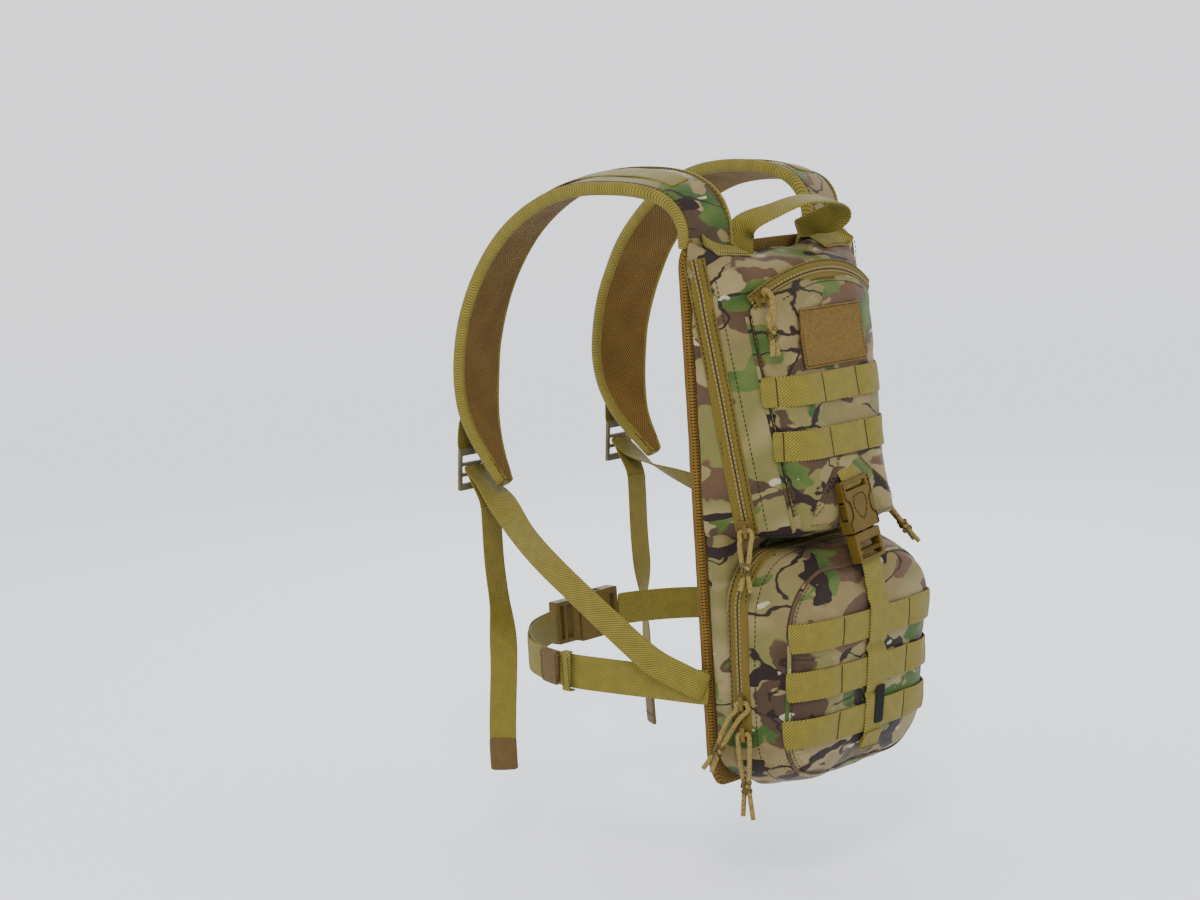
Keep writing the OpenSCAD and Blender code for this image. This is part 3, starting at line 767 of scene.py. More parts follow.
def round_rect(half, low, high, r_low, r_high, n=112):
    """Points round a rectangle with rounded corners, evenly spaced, from the bottom middle."""
    pts = []
    for cx, cz, r, a0 in ((half - r_low, low + r_low, r_low, -90), (half - r_high, high - r_high, r_high, 0),
                          (-half + r_high, high - r_high, r_high, 90), (-half + r_low, low + r_low, r_low,
                                  180)):
        for k in range(13):
            a = math.radians(a0 + 90 * k / 12)
            pts.append(V(cx + r * math.cos(a), 0, cz + r * math.sin(a)))
    pts = [V(0, 0, low)] + pts + [V(0, 0, low)]
    s = lengths(pts)
    out, j = [], 0
    for k in range(n):
        t = s[-1] * k / n
        while s[j + 1] < t:
            j += 1
        out.append(pts[j].lerp(pts[j + 1], (t - s[j]) / (s[j + 1] - s[j])))
    return out


POUCH_BACK = -30.8
back_line = round_rect(105, -216, -16, 40, 45)
front_line = round_rect(88, -204, -36, 45, 45)
POUCH_MID = V(0, 0, -120)


def pouch_front_y(z):
    return -102 + 0.131 * (-36 - z)


def pouch_point(k, s):
    """s from 0 at the back, 1 at the front edge, to 2 at the middle of the front."""
    b, f = back_line[k], front_line[k]
    if s <= 1:
        p = b.lerp(f, s)
        p.y = lerp(POUCH_BACK, pouch_front_y(f.z), s)
        out = (b.lerp(f, 0.5) - POUCH_MID)
        out.y = 0
        return p + out.normalized() * 4.5 * math.sin(math.pi * s) ** 0.8
    q = 2 - s
    p = POUCH_MID.lerp(f, q)
    p.y = pouch_front_y(p.z) - 3.5 * (1 - q ** 3)
    return p


levels_s = [0.0, 0.05, 0.12, 0.2, 0.28, 0.36, 0.44, 0.52, 0.6, 0.68, 0.76, 0.84, 0.91, 0.96, 0.99, 1.015,
            1.05, 1.1, 1.17,
            1.25, 1.34, 1.43, 1.52, 1.61, 1.7, 1.79, 1.88]
back_rings = [[V(lerp(0, p.x, q), POUCH_BACK + 0.01, lerp(POUCH_MID.z, p.z, q)) for p in back_line]
              for q in (0.3, 0.65, 0.95)]
rings = back_rings + [[pouch_point(k, s) for k in range(len(back_line))] for s in levels_s]
verts, faces = loft(rings)


def pouch_folds(p, n):
    side = 1 - clamp(-n.y)
    crease = 1.5 * math.sin(p.y * 0.16 + 2 * fractal(p, 60, 2.0)) * side * smooth((-150 - p.z) / 50)
    return (0.8 + 1.2 * side) * fractal(V(p.x, p.y * 0.8, p.z), 36, 11.0) + 0.35 * fractal(p, 12,
            2.0) + crease


verts, faces = crumple(verts, faces, pouch_folds)
pouch = make("pouch_cloth", verts, faces, CAMO_B, "camo_fabric", "root", ("pouch_shell", "pouch_front"),
             levels=1)

simulate(main_upper, 3.0, 5.0, lambda p: clamp((p.y + 14) / -12))
simulate(pocket, 3.0, 4.0, lambda p: 1.0)
simulate(pouch, 3.5, 5.0, lambda p: clamp((p.y + 34) / -10))

# ---------------------------------------------------------------- back panel


def back_place(a, b, c):
    z = lerp(-215.5, 239, c)
    corner_low = clamp((-215.5 + 36 - z) / 36)
    corner_high = clamp((z - 219) / 20)
    half = 108 - 12 * corner_low ** 2.2 - 7 * corner_high ** 2.2
    pad = 1 - abs(a) ** 8
    quilt = abs(math.sin(math.pi * (c * 3))) ** 0.5 * abs(math.cos(math.pi * a * 0.5)) ** 0.3
    ridge = 1.8 * (quilt - 1) * pad
    return V(a * half, lerp(-9.8, 0.6 + ridge, b), z)


verts, faces = crumple(*box_shell((216, 10.4, 455), 4.6, 4.6, back_place), lambda p, n: 0.25 * fractal(p, 20,
        1.0))
back = make("back_panel", verts, faces, MESH, "spacer_mesh", "root", ("back_mesh", "back_foam"), levels=1,
            wv=[(v[0] + v[1], v[2], 0) for v in verts])

upper_tree = tree_of(main_upper, pocket)
side_tree = tree_of(main_upper)
pouch_tree = tree_of(pouch)

# ---------------------------------------------------------------- zips


def zip_run(name, path, outs, tree, node, gap=0.4, half=9.2):
    """Tape, coil and stitching of a zip along a path. It lies on the cloth, or on the path with no tree."""
    path, outs = resample(path, outs, 1.25)
    run = lengths(path)
    fr = frames(path, outs)
    xs = [-half, -half + 0.8, -6.2, -4.2, -3.2, 0, 3.2, 4.2, 6.2, half - 0.8, half]
    lift = [0.1, 0.75, 0.8, 1.1, 0.9, 0.5, 0.9, 1.1, 0.8, 0.75, 0.1]
    levels = [[(drop(tree, p + s * x, u) - p).dot(u) for x in (-half, 0, half)] for p, (s, u) in zip(path,
            fr)]
    rings, wv, base = [], [], []
    for p, (s, u), h, l in zip(path, fr, smoothed(np.array(levels), 9), run):
        def level(x):
            return (lerp(h[1], h[2], x / half) if x > 0 else lerp(h[1], h[0], -x / half)) + gap
        ring = [p + s * x + u * (level(x) + y) for x, y in zip(xs, lift)]
        ring += [p + s * x + u * (level(x) - 0.6) for x in reversed(xs)]
        rings.append(ring)
        wv += [(l, x, 0) for x in xs + xs[::-1]]
        base.append((p + u * level(0), s, u))
    verts, faces = loft(rings)
    make(name, verts, faces, TAPE, "zip_tape", "root", (node,), wv=wv)
    # Coil: two rows of rounded turns that meet in the middle
    rings, wv = [], []
    for i, ((p, s, u), l) in enumerate(zip(base, run)):
        up = 1.0 if i % 2 else 0.35
        shift = 0.35 if i % 2 else -0.35
        turn = [(2.9, 0.2), (2.6, 0.9 + 0.35 * up), (1.4, 1.1 + 0.55 * up), (0.2, 0.75 + 0.2 * up)]
        prof = [(-x, y) for x, y in turn] + turn[::-1] + [(0, -0.3)]
        t = s.cross(u)
        rings.append([p + s * x + u * y + t * (shift * (1 if x > 0 else -1)) for x, y in prof])
        wv += [(l, x, 0) for x, y in prof]
    verts, faces = loft(rings)
    make(name + "_coil", verts, faces, COIL, "zip_tape", "root", wv=wv)
    outs = [u for _, _, u in base]
    lines = [([p + s * x + u * 0.85 for p, s, u in base], outs) for x in (-7.2, 7.2)]
    stitches(name + "_stitch", lines, "root", slot="zip_tape", material=SEAM_THREAD_AND_SHADE, radius=0.45)


# The wearer's left is -X, and the left side's points are the ones given
SIDES = ((-1, "left"), (1, "right"))


def to_side(side, p):
    """A point or direction of the left side, or its mirror image on the right."""
    return V(-side * p.x, p.y, p.z)


def side_row(side, top, low, shift):
    """Points up a side panel beside its zip."""
    shares = [i / 40 for i in range(41)]
    row = [V(-BACK_W, -10, lerp(low, top, t)) + SIDE_FWD * (lerp(40, 8, t) + shift) for t in shares]
    return [to_side(side, p) for p in row]


for side, name in SIDES:
    path = side_row(side, 228, -6, 0.0)
    zip_run("zip_" + name, path, [to_side(side, SIDE_OUT)] * len(path), side_tree, "side_zip_" + name)

L = math.radians(26)
ARCH_AXIS = V(0, -math.cos(L), -math.sin(L))
ARCH_UP = V(0, -math.sin(L), math.cos(L))
ARCH_C = V(0, -66.8, 213) - ARCH_UP * 137
FACE = L + math.atan(0.132)


def arch_radial(a):
    return ARCH_UP * math.cos(math.radians(a)) + V(math.sin(math.radians(a)), 0, 0)


def arch_point(a):
    return ARCH_C + arch_radial(a) * 135


def arch_out(a):
    return ARCH_AXIS * math.cos(FACE) + arch_radial(a) * math.sin(FACE)


angles = [-35.5 + 71 * i / 48 for i in range(49)]
arch_mid = [arch_point(a) + arch_out(a) * -0.6 for a in angles]


zip_run("zip_pocket", arch_mid, [arch_out(a) for a in angles], None, "pocket_zip", gap=0.0, half=8.6)


def ring_out(p, t, forward):
    """Outward direction at a point of the pouch's outline, tipped forward."""
    o = t.cross(V(0, -1, 0)).normalized()
    if o.dot(p - V(0, p.y, -118)) < 0:
        o = -o
    return (o + V(0, -forward, 0)).normalized()


# Pouch zip: up one side, over the top and down the other
ZIP_SHARE = 0.175
ZIP_END_Z = -166
zip_path = [p for p in (pouch_point(k, ZIP_SHARE) for k in range(len(back_line))) if p.z >= ZIP_END_Z]
zip_outs = [ring_out(p, t, 0.28) for p, t in zip(zip_path, tangents(zip_path))]
zip_run("zip_pouch", zip_path[::-1], zip_outs[::-1], pouch_tree, "pouch_zip", half=9.5)

# ---------------------------------------------------------------- webbing that lies on the cloth


def lay(name, path, outs, half, t, tree, slot, material, nodes=(), bulge=None, gap=0.3, sag=9):
    """A flat piece on the cloth along a path. Returns its frames and the distances along it.

    gap and bulge raise it, bulge by the distance along it. sag is the window that smooths the heights.
    """
    path, outs = resample(path, outs, 2.5)
    run = lengths(path)
    fr = frames(path, outs)
    marks = (-half, -half / 2, 0, half / 2, half)
    heights = [[(drop(tree, p + s * x, u) - p).dot(u) for x in marks] for p, (s, u) in zip(path, fr)]
    rings, wv, base = [], [], []
    for p, (s, u), h, l in zip(path, fr, smoothed(np.array(heights), sag), run):
        b = gap + (bulge(l - run[-1] / 2) if bulge else 0)
        ring = []
        for x, y in strap_profile(half, t):
            ring.append(p + s * x + u * (float(np.interp(x, marks, h)) + b + t / 2 + y))
            wv.append((l, x, 0))
        rings.append(ring)
        base.append((p + u * (float(h[2]) + b + t), s, u, (marks, [float(v - h[2]) for v in h])))
    verts, faces = loft(rings)
    make(name, verts, faces, material, slot, "root", nodes, levels=1, wv=wv)
    return base, run


def across_at(frame_here, x, lift):
    """The point at a distance across a laid piece."""
    p, s, u, heights = frame_here
    return p + s * x + u * (float(np.interp(x, *heights)) + lift)


def edge_lines(base, offsets, first=0, last=None, lift=0.05):
    """Thread lines along a laid piece at distances across it."""
    part = base[first:last]
    return [([across_at(here, x, lift) for here in part], [here[2] for here in part]) for x in offsets]


TACK = {"pitch": 1.5, "length": 1.7, "radius": 0.5, "material": SEAM_THREAD_AND_SHADE}
TOPSTITCH = {"slot": "camo_fabric", "material": SEAM_THREAD_AND_SHADE, "radius": 0.45, "pitch": 4.0, "length": 2.6}


def tacks(name, base, run, at):
    """Bar tacks: short rows of thread across the webbing at distances along it from its middle."""
    end = ROW / 2 - 0.8
    lines = []
    for x in at:
        i = min(range(len(run)), key=lambda j: abs(run[j] - run[-1] / 2 - x))
        lines.append(([across_at(base[i], w, 0.1) for w in np.linspace(-end, end, 7)], [base[i][2]] * 7))
    stitches(name, lines, "root", **TACK)


def wrap_outs(path):
    """Level directions square to a path that runs round the pack from left to right."""
    return [V(t.y, -t.x, 0).normalized() for t in tangents(path)]


def pillow(l, at):
    """Height of webbing between its tacks."""
    near = min(abs(l - t) for t in at)
    return 1.2 * (1 - math.exp(-(near / 4.5) ** 2))


def middle(node):
    """Middle of a CAD piece's box, in millimetres."""
    low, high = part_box(node)
    return (low + high) / 2 * 1000


def side_y(x, z):
    return -10 + (BACK_W - abs(x)) / (BACK_W - corner_x(z)) * (corner_y(z) + 10)


# ---------------------------------------------------------------- seams and rows of thread


def seam(name, path, outs, tree, material, thread_at=3.6):
    """A raised fold along a path on the cloth, with a dark strip of painted shade in its crease and a row of
    thread beside it.
    """
    width = 1.7
    base, _ = lay(name + "_fold", path, outs, width, 1.5, tree, "camo_fabric", material, gap=-0.35, sag=5)
    ups = [u for _, _, u, _ in base]
    # Painted shade: a dark strip beside the fold stands for the shade in its crease
    groove_shade = [p - u * 1.1 + s * (width + 0.5) for p, s, u, _ in base]
    ribbon(name + "_groove", groove_shade, ups, 0.6, 0.9, SEAM_THREAD_AND_SHADE, "root", slot="camo_fabric")
    thread = [drop(tree, p + s * thread_at, u) + u * 0.1 for p, s, u, _ in base]
    stitches(name + "_thread", [(thread, ups)], "root", slot="camo_fabric", material=SEAM_THREAD_AND_SHADE, radius=0.42,
             pitch=3.8, length=2.5)


for side, name in SIDES:
    out = to_side(side, SIDE_OUT)
    on_cloth = landed(side_tree, side_row(side, 214, -2, 16.0), out)
    stitches("zip_%s_topstitch" % name, [([q + out * 0.1 for q in on_cloth], [out] * len(on_cloth))], "root",
             **TOPSTITCH)
    edge_path = [V(side * (corner_x(z) + 2.5), side_y(corner_x(z) + 2.5, z), z) for z in range(0, 186, 6)]
    lean = (out + V(0, -0.4, 0)).normalized()
    seam("pocket_edge_" + name, edge_path, [lean] * len(edge_path), upper_tree, CAMO_C)
arch_low = [p - arch_radial(a) * 13 for p, a in zip(arch_mid, angles)][6:-6]
thread = [drop(upper_tree, p, V(0, -1, 0.2)) + V(0, -0.15, 0) for p in arch_low]
stitches("pocket_topstitch", [(thread, [V(0, -1, 0.3)] * len(thread))], "root", **TOPSTITCH)
PANEL_SHARE = 0.845
around = [k % len(back_line) for k in range(len(back_line) + 1)]
panel = [pouch_point(k, PANEL_SHARE) for k in around]
panel_outs = []
for i, p in enumerate(panel):
    t = (panel[(i + 1) % (len(panel) - 1)] - panel[i - 1 if i else -2]).normalized()
    panel_outs.append(ring_out(p, t, 0.45))
seam("pouch_panel", panel, panel_outs, pouch_tree, CAMO, thread_at=-3.4)
bead = [pouch_point(k, 0.42) for k in around][12:-12]
bead_outs = [(o + V(0, 0.2, 0)).normalized() for o in panel_outs][12:-12]
thread = [drop(pouch_tree, p, o) + o * 0.1 for p, o in zip(bead, bead_outs)]
stitches("pouch_topstitch", [(thread, bead_outs)], "root", **TOPSTITCH)

POCKET_TACKS = (-67.5, -22.5, 22.5, 67.5)
for node in ("pocket_webbing_upper", "pocket_webbing_lower"):
    z = middle(node).z
    reach = corner_x(z) + 4.5
    path = []
    for i in range(81):
        x = -reach + 2 * reach * i / 80
        path.append(V(x, front_at(x, z) if abs(x) <= corner_x(z) else side_y(x, z), z))
    base, run = lay(node + "_web", path, wrap_outs(path), ROW / 2, 1.5, upper_tree, "webbing", WEB, (node,),
                    bulge=lambda l: pillow(l, POCKET_TACKS))
    tacks(node + "_tacks", base, run, POCKET_TACKS)

low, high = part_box("loop_patch")
zc = (low.z + high.z) * 500
path = [V(x, front_at(x, zc), zc) for x in range(-41, 42, 2)]
base, _ = lay("patch_pile", path, [UPPER_FACE] * len(path), 25, 2.2, upper_tree, "loop_pile", PILE,
              ("loop_patch",), sag=15)
border = edge_lines(base, (-23, 23), 1, -1, 0.0)
border += [([p - s * 23, p + s * 23], [u] * 2) for p, s, u, _ in (base[1], base[-2])]
stitches("patch_stitch", border, "root", pitch=3.0, length=2.3, radius=0.35, material=COIL, slot="loop_pile")

# Yoke: a folded panel that narrows up to the buckle's loop
rings_top, rings_low = [], []
ROWS_Z = [1.0, 3.5, 7, 11, 14.5, 19, 24, 29, 34, 39, 44, 49, 53, 56]
for z in ROWS_Z:
    left = -lerp(60, 18, clamp((z - 14) / 41)) if z > 14 else -64
    right = lerp(60, 10, clamp((z - 14) / 41)) if z > 14 else 64
    row = []
    for i in range(25):
        x = lerp(left, right, i / 24)
        q = drop(upper_tree, V(x, front_at(x, z), z), UPPER_FACE)
        edge = min(i, 24 - i) / 3
        row.append((q, 0.5 + 1.3 * smooth(edge) + (0.5 * math.sin(i * 0.8) * 0.4)))
    rings_top.append([q + V(0, -1, 0.13) * h for q, h in row])
    rings_low.append([q + V(0, 0.5, 0) for q, h in row])
rings = [top + list(reversed(low)) for top, low in zip(rings_top, rings_low)]
verts, faces = loft(rings)
make("yoke_cloth", verts, faces, CAMO_B, "camo_fabric", "root", ("yoke",), levels=1)
lines = []
for i in (1, 23):
    for shift in (0, 1):
        j = i + (shift if i == 1 else -shift)
        lines.append(([r[j] + V(0, -0.25, 0) for r in rings_top[3:]], [V(0, -1, 0.13)] * len(rings_top[3:])))
lines.append(([p + V(0, -0.25, 1) for p in rings_top[1][1:-1]], [V(0, -1, 0.13)] * 23))
stitches("yoke_stitch", lines, "root")

pouch_rows = []
for n, node in enumerate(("pouch_webbing_1", "pouch_webbing_2", "pouch_webbing_3")):
    z = middle(node).z
    edge_y = pouch_front_y(z)
    half_front = 88.0 if z > -159 else 43 + math.sqrt(max(0, 45 ** 2 - (-159 - z) ** 2))
    half_back = half_front + 17
    y_end = edge_y + 11
    x_end = lerp(half_back, half_front, (POUCH_BACK - y_end) / (POUCH_BACK - edge_y)) + 2
    path = [V(-x_end, y_end, z), V(-(x_end + half_front) / 2 - 1, edge_y + 6, z), V(-half_front + 0.5,
            edge_y + 2, z)]
    path += [V(x, edge_y - 1 - 2 * (1 - (x / 86) ** 2), z) for x in range(-84, 85, 4)]
    path += [V(half_front - 0.5, edge_y + 2, z), V((x_end + half_front) / 2 + 1, edge_y + 6, z),
             V(x_end, y_end, z)]
    name = "pouch_row_%d" % (n + 1)
    base, run = lay(name, path, wrap_outs(path), ROW / 2, 1.5, pouch_tree, "webbing", WEB, (node,),
                    bulge=lambda l: pillow(l, (-46, 0, 46)), sag=7)
    tacks(name + "_tacks", base, run, (-46, 46))
    pouch_rows.append(bpy.data.objects[name])

# ---------------------------------------------------------------- front buckle and closure strap
buckle_turn = Matrix.Rotation(math.radians(-6.5), 3, "Y") @ Matrix.Rotation(math.radians(-9.5), 3, "X")
BUCKLE_AT = V(-6, -97, 3)


def at_buckle(x, y, z):
    return BUCKLE_AT + buckle_turn @ V(x, y, z)


strap_tree = tree_of(pouch, *pouch_rows)
top_link = [at_buckle(0, 0.5, -29), at_buckle(0, -0.5, -36), V(-1, -104.6, -42)]
fall = [V(0, pouch_front_y(z) - 3.4, z) for z in range(-50, -198, -6)]
path = curve(top_link + fall, 2)
outs = [(V(0, -0.991, 0.05 if p.z > -45 else -0.131)).normalized() for p in path]


def strap_height(p, u):
    return max(0.0, (drop(strap_tree, p, u) - p).dot(u) + 0.35)


lifted = []
for i, (p, u) in enumerate(zip(path, outs)):
    near = [strap_height(path[j] + V(x, 0, 0), outs[j]) if path[j].z < -46 else 0.0
            for j in range(max(0, i - 2), min(len(path), i + 3)) for x in (-11, 0, 11)]
    lifted.append(p + u * (max(near) + 0.4))
ribbon("closure_web", lifted, outs, ROW / 2, 1.5, WEB, "root", nodes=("closure_strap",), ripple=0.5,
       step=2.5)
fold = [lifted[-7] + V(0, -1.7, 0), lifted[-4] + V(0, -1.9, 0), lifted[-1] + V(0, -1.9, 1)]
ribbon("closure_fold", fold, [outs[-1]] * 3, ROW / 2 - 0.2, 1.5, WEB, "root")
stitches("closure_tacks", [([V(-11, p.y - 2.9, p.z), V(11, p.y - 2.9, p.z)], [V(0, -1, 0)] * 2)
                           for p in (lifted[-5], lifted[-2])], "root", pitch=1.5, length=1.7, radius=0.4)
low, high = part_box("label")
lx, lz0, lz1 = (low.x + high.x) * 500, low.z * 1000, high.z * 1000
label_tree = tree_of(bpy.data.objects["closure_web"], pouch)
path = [V(lx, drop(label_tree, V(lx, -106, z), V(0, -1, 0)).y - 0.8, z) for z in (lz1,
        (lz0 * 0.33 + lz1 * 0.67), (lz0 * 0.67 + lz1 * 0.33), lz0)]
ribbon("blank_label", curve(path, 3), [POUCH_FACE] * 10, 6.0, 0.7, LABEL, "root", slot="label_fabric",
       nodes=("label",))

loop_path = [at_buckle(0, y, z) for y, z in ((-1.2, 28), (-3.0, 32), (-1.5, 37), (1.5, 46), (5.2, 53))]
ribbon("buckle_loop_web", curve(loop_path, 4), [buckle_turn @ V(0, -1, 0)] * 17, ROW / 2 - 0.3, 1.6, WEB,
       "root", nodes=("buckle_loop",), step=2)


def ridge(name, points, radius, place, body):
    """A small moulded bead along points of a part's own frame."""
    path = [place(*p) for p in curve(points, 3)]
    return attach(tube(name, path, radius, BUCKLE, "buckle_plastic", sides=8), body)


# Beads of a side-release buckle, in its own frame
EDGE_BEAD = [(17.6, -5.4, -6), (17.6, -5.5, 1), (13.2, -5.5, 5), (12.4, -5.5, 11), (13.2, -5.5, 17),
             (17.4, -5.5, 21.5), (17.4, -5.4, 34)]
SHIELD_BEAD = [(-7, -5.3, 21), (0, -5.3, 22), (7, -5.3, 21), (8, -5.3, 12), (0, -5.3, 1), (-8, -5.3, 12),
               (-7, -5.3, 21)]
GRIP_BEAD = [(18.2, -2.6), (18.7, 0), (18.2, 2.6)]
TOOTH_BEAD = [(-5.0, -26.6), (-5.5, -25.5), (-5.0, -24.4)]


def buckle_details(name, place, k, body, left, right):
    """Grips on both prongs, edge beads and a shield on the female half, and teeth on the male half's bar."""
    def bead(part, points, radius, rider):
        ridge("%s_%s" % (name, part), [(x * k, y * k, z * k) for x, y, z in points], radius * k, place,
              rider)

    for side, prong in ((-1, left), (1, right)):
        letter = "ab"[side > 0]
        for i in range(5):
            bead("grip_%s_%d" % (letter, i), [(side * x, y, 5.5 + 2.4 * i) for x, y in GRIP_BEAD], 0.7,
                 prong)
        bead("edge_" + letter, [(side * x, y, z) for x, y, z in EDGE_BEAD], 1.2, body)
    bead("shield", SHIELD_BEAD, 0.9, body)
    for i in range(7):
        bead("tooth_%d" % i, [(-10.5 + 3.5 * i, y, z) for y, z in TOOTH_BEAD], 0.7, body)


# ---------------------------------------------------------------- top bands and grab handle
for side, name in SIDES:
    path = [V(side * x, -24, lerp(246, 235, (100 - x) / 48)) for x in (90, 83, 76, 69, 62, 55, 48)]
    outs = [V(side * 0.25, -0.3, 0.92).normalized()] * len(path)
    base, _ = lay("top_band_%s_web" % name, path, outs, ROW / 2, 1.5, side_tree, "webbing", WEB,
                  ("top_band_" + name,), sag=7)
    stitches("top_band_%s_stitch" % name, edge_lines(base, (-10.5, 10.5), 2, -1), "root", pitch=3.6,
             length=2.6,
             material=SEAM_THREAD_AND_SHADE)

handle_points = [(-38, -11, 226), (-38, -12, 243), (-35, -20, 254), (-22, -35, 262), (2, -48, 269),
                 (28, -56, 267), (45, -55, 258),
                 (47, -42, 250.5), (43, -26, 247), (40, -14, 241), (39, -11, 226)]
handle_ups = [(-0.5, -0.85, 0), (-0.55, -0.75, 0.3), (-0.5, -0.5, 0.7), (-0.35, -0.3, 0.9), (0, -0.3, 1),
              (0.4, -0.3, 0.9), (1, 0, 0.3),
              (1, 0.2, 0.2), (0.8, 0, 0.6), (0.5, -0.6, 0.6), (0.4, -0.9, 0)]
ribbon("handle_web", curve(handle_points, 5), curve(handle_ups, 5),
       lambda t: 12.2 - 1.7 * smooth((t - 0.72) / 0.2), 2.2, WEB, "handle", nodes=("grab_handle",),
       ripple=0.6)

# ---------------------------------------------------------------- shoulder straps
strap_route = [(-77, -8, 236), (-77, -8, 245), (-78, -8, 257), (-80, -2, 272), (-83, 12, 284),
               (-86, 34, 291), (-88, 62, 294),
               (-90, 92, 294), (-91, 120, 290), (-92, 146, 281), (-93, 170, 268), (-94, 192, 251),
               (-94, 212, 230),
               (-95, 228, 206), (-95, 241, 180), (-95, 250, 152), (-95, 254, 124), (-96, 253, 96),
               (-97, 245, 70),
               (-99, 232, 48), (-100, 221, 32)]
strap_half = [27, 27, 27, 28, 29, 31, 32, 32, 32, 32, 32, 32, 32, 32, 32, 31, 30, 26, 19, 12, 7]
TILT = math.radians(10)


def strap_base(side):
    """Points down the middle of a strap, its half widths, and directions out of its face."""
    path = [to_side(side, p) for p in curve(strap_route, 5)]
    widths = [v.x for v in curve([(w, 0, 0) for w in strap_half], 5)]
    tilt = V(side * math.sin(TILT), 0, 0)
    ups = [V(0, -t.z, t.y).normalized() * math.cos(TILT) + tilt for t in tangents(path)]
    return path, widths, ups


def strap_rings(path, widths, ups, profile):
    """Cross-sections down a strap, with the distances along and across it."""
    rings, wv = [], []
    for p, (s, u), w, l in zip(path, frames(path, ups), widths, lengths(path)):
        section = profile(w, l)
        rings.append([p + s * x + u * y for x, y in section])
        wv += [(l, x, 0) for x, y in section]
    return rings, wv


def pad_profile(w, l):
    crown = 0.8 * math.sin(l * 0.11) * 0.5
    marks = (-0.97, -0.9, -0.75, -0.55, -0.3, 0, 0.3, 0.55, 0.75, 0.9, 0.97)
    top = [(w * q, 4.9 - 3.0 * abs(q) ** 5 + (1.5 + crown) * (1 - q * q)) for q in marks]
    return top + [(w * q, -3.4) for q in (0.97, 0.7, 0.35, 0, -0.35, -0.7, -0.97)]


def lining_profile(w, l):
    marks = (-0.96, -0.7, -0.35, 0, 0.35, 0.7, 0.96)
    low = [(w * q, -5.2 - 1.0 * (1 - q * q) - 0.3 * math.sin(l * 0.2)) for q in marks]
    return low + [(w * q, -3.7) for q in (0.96, 0.5, 0, -0.5, -0.96)]


def binding_profile(side):
    def profile(w, l):
        pts = []
        for k in range(12):
            a = 2 * math.pi * k / 12
            pts.append((side * (w - 3.2) + 3.6 * math.cos(a),
                        -0.3 + 6.2 * math.sin(a) * (0.92 if abs(math.sin(a)) > 0.9 else 1)))
        return pts
    return profile


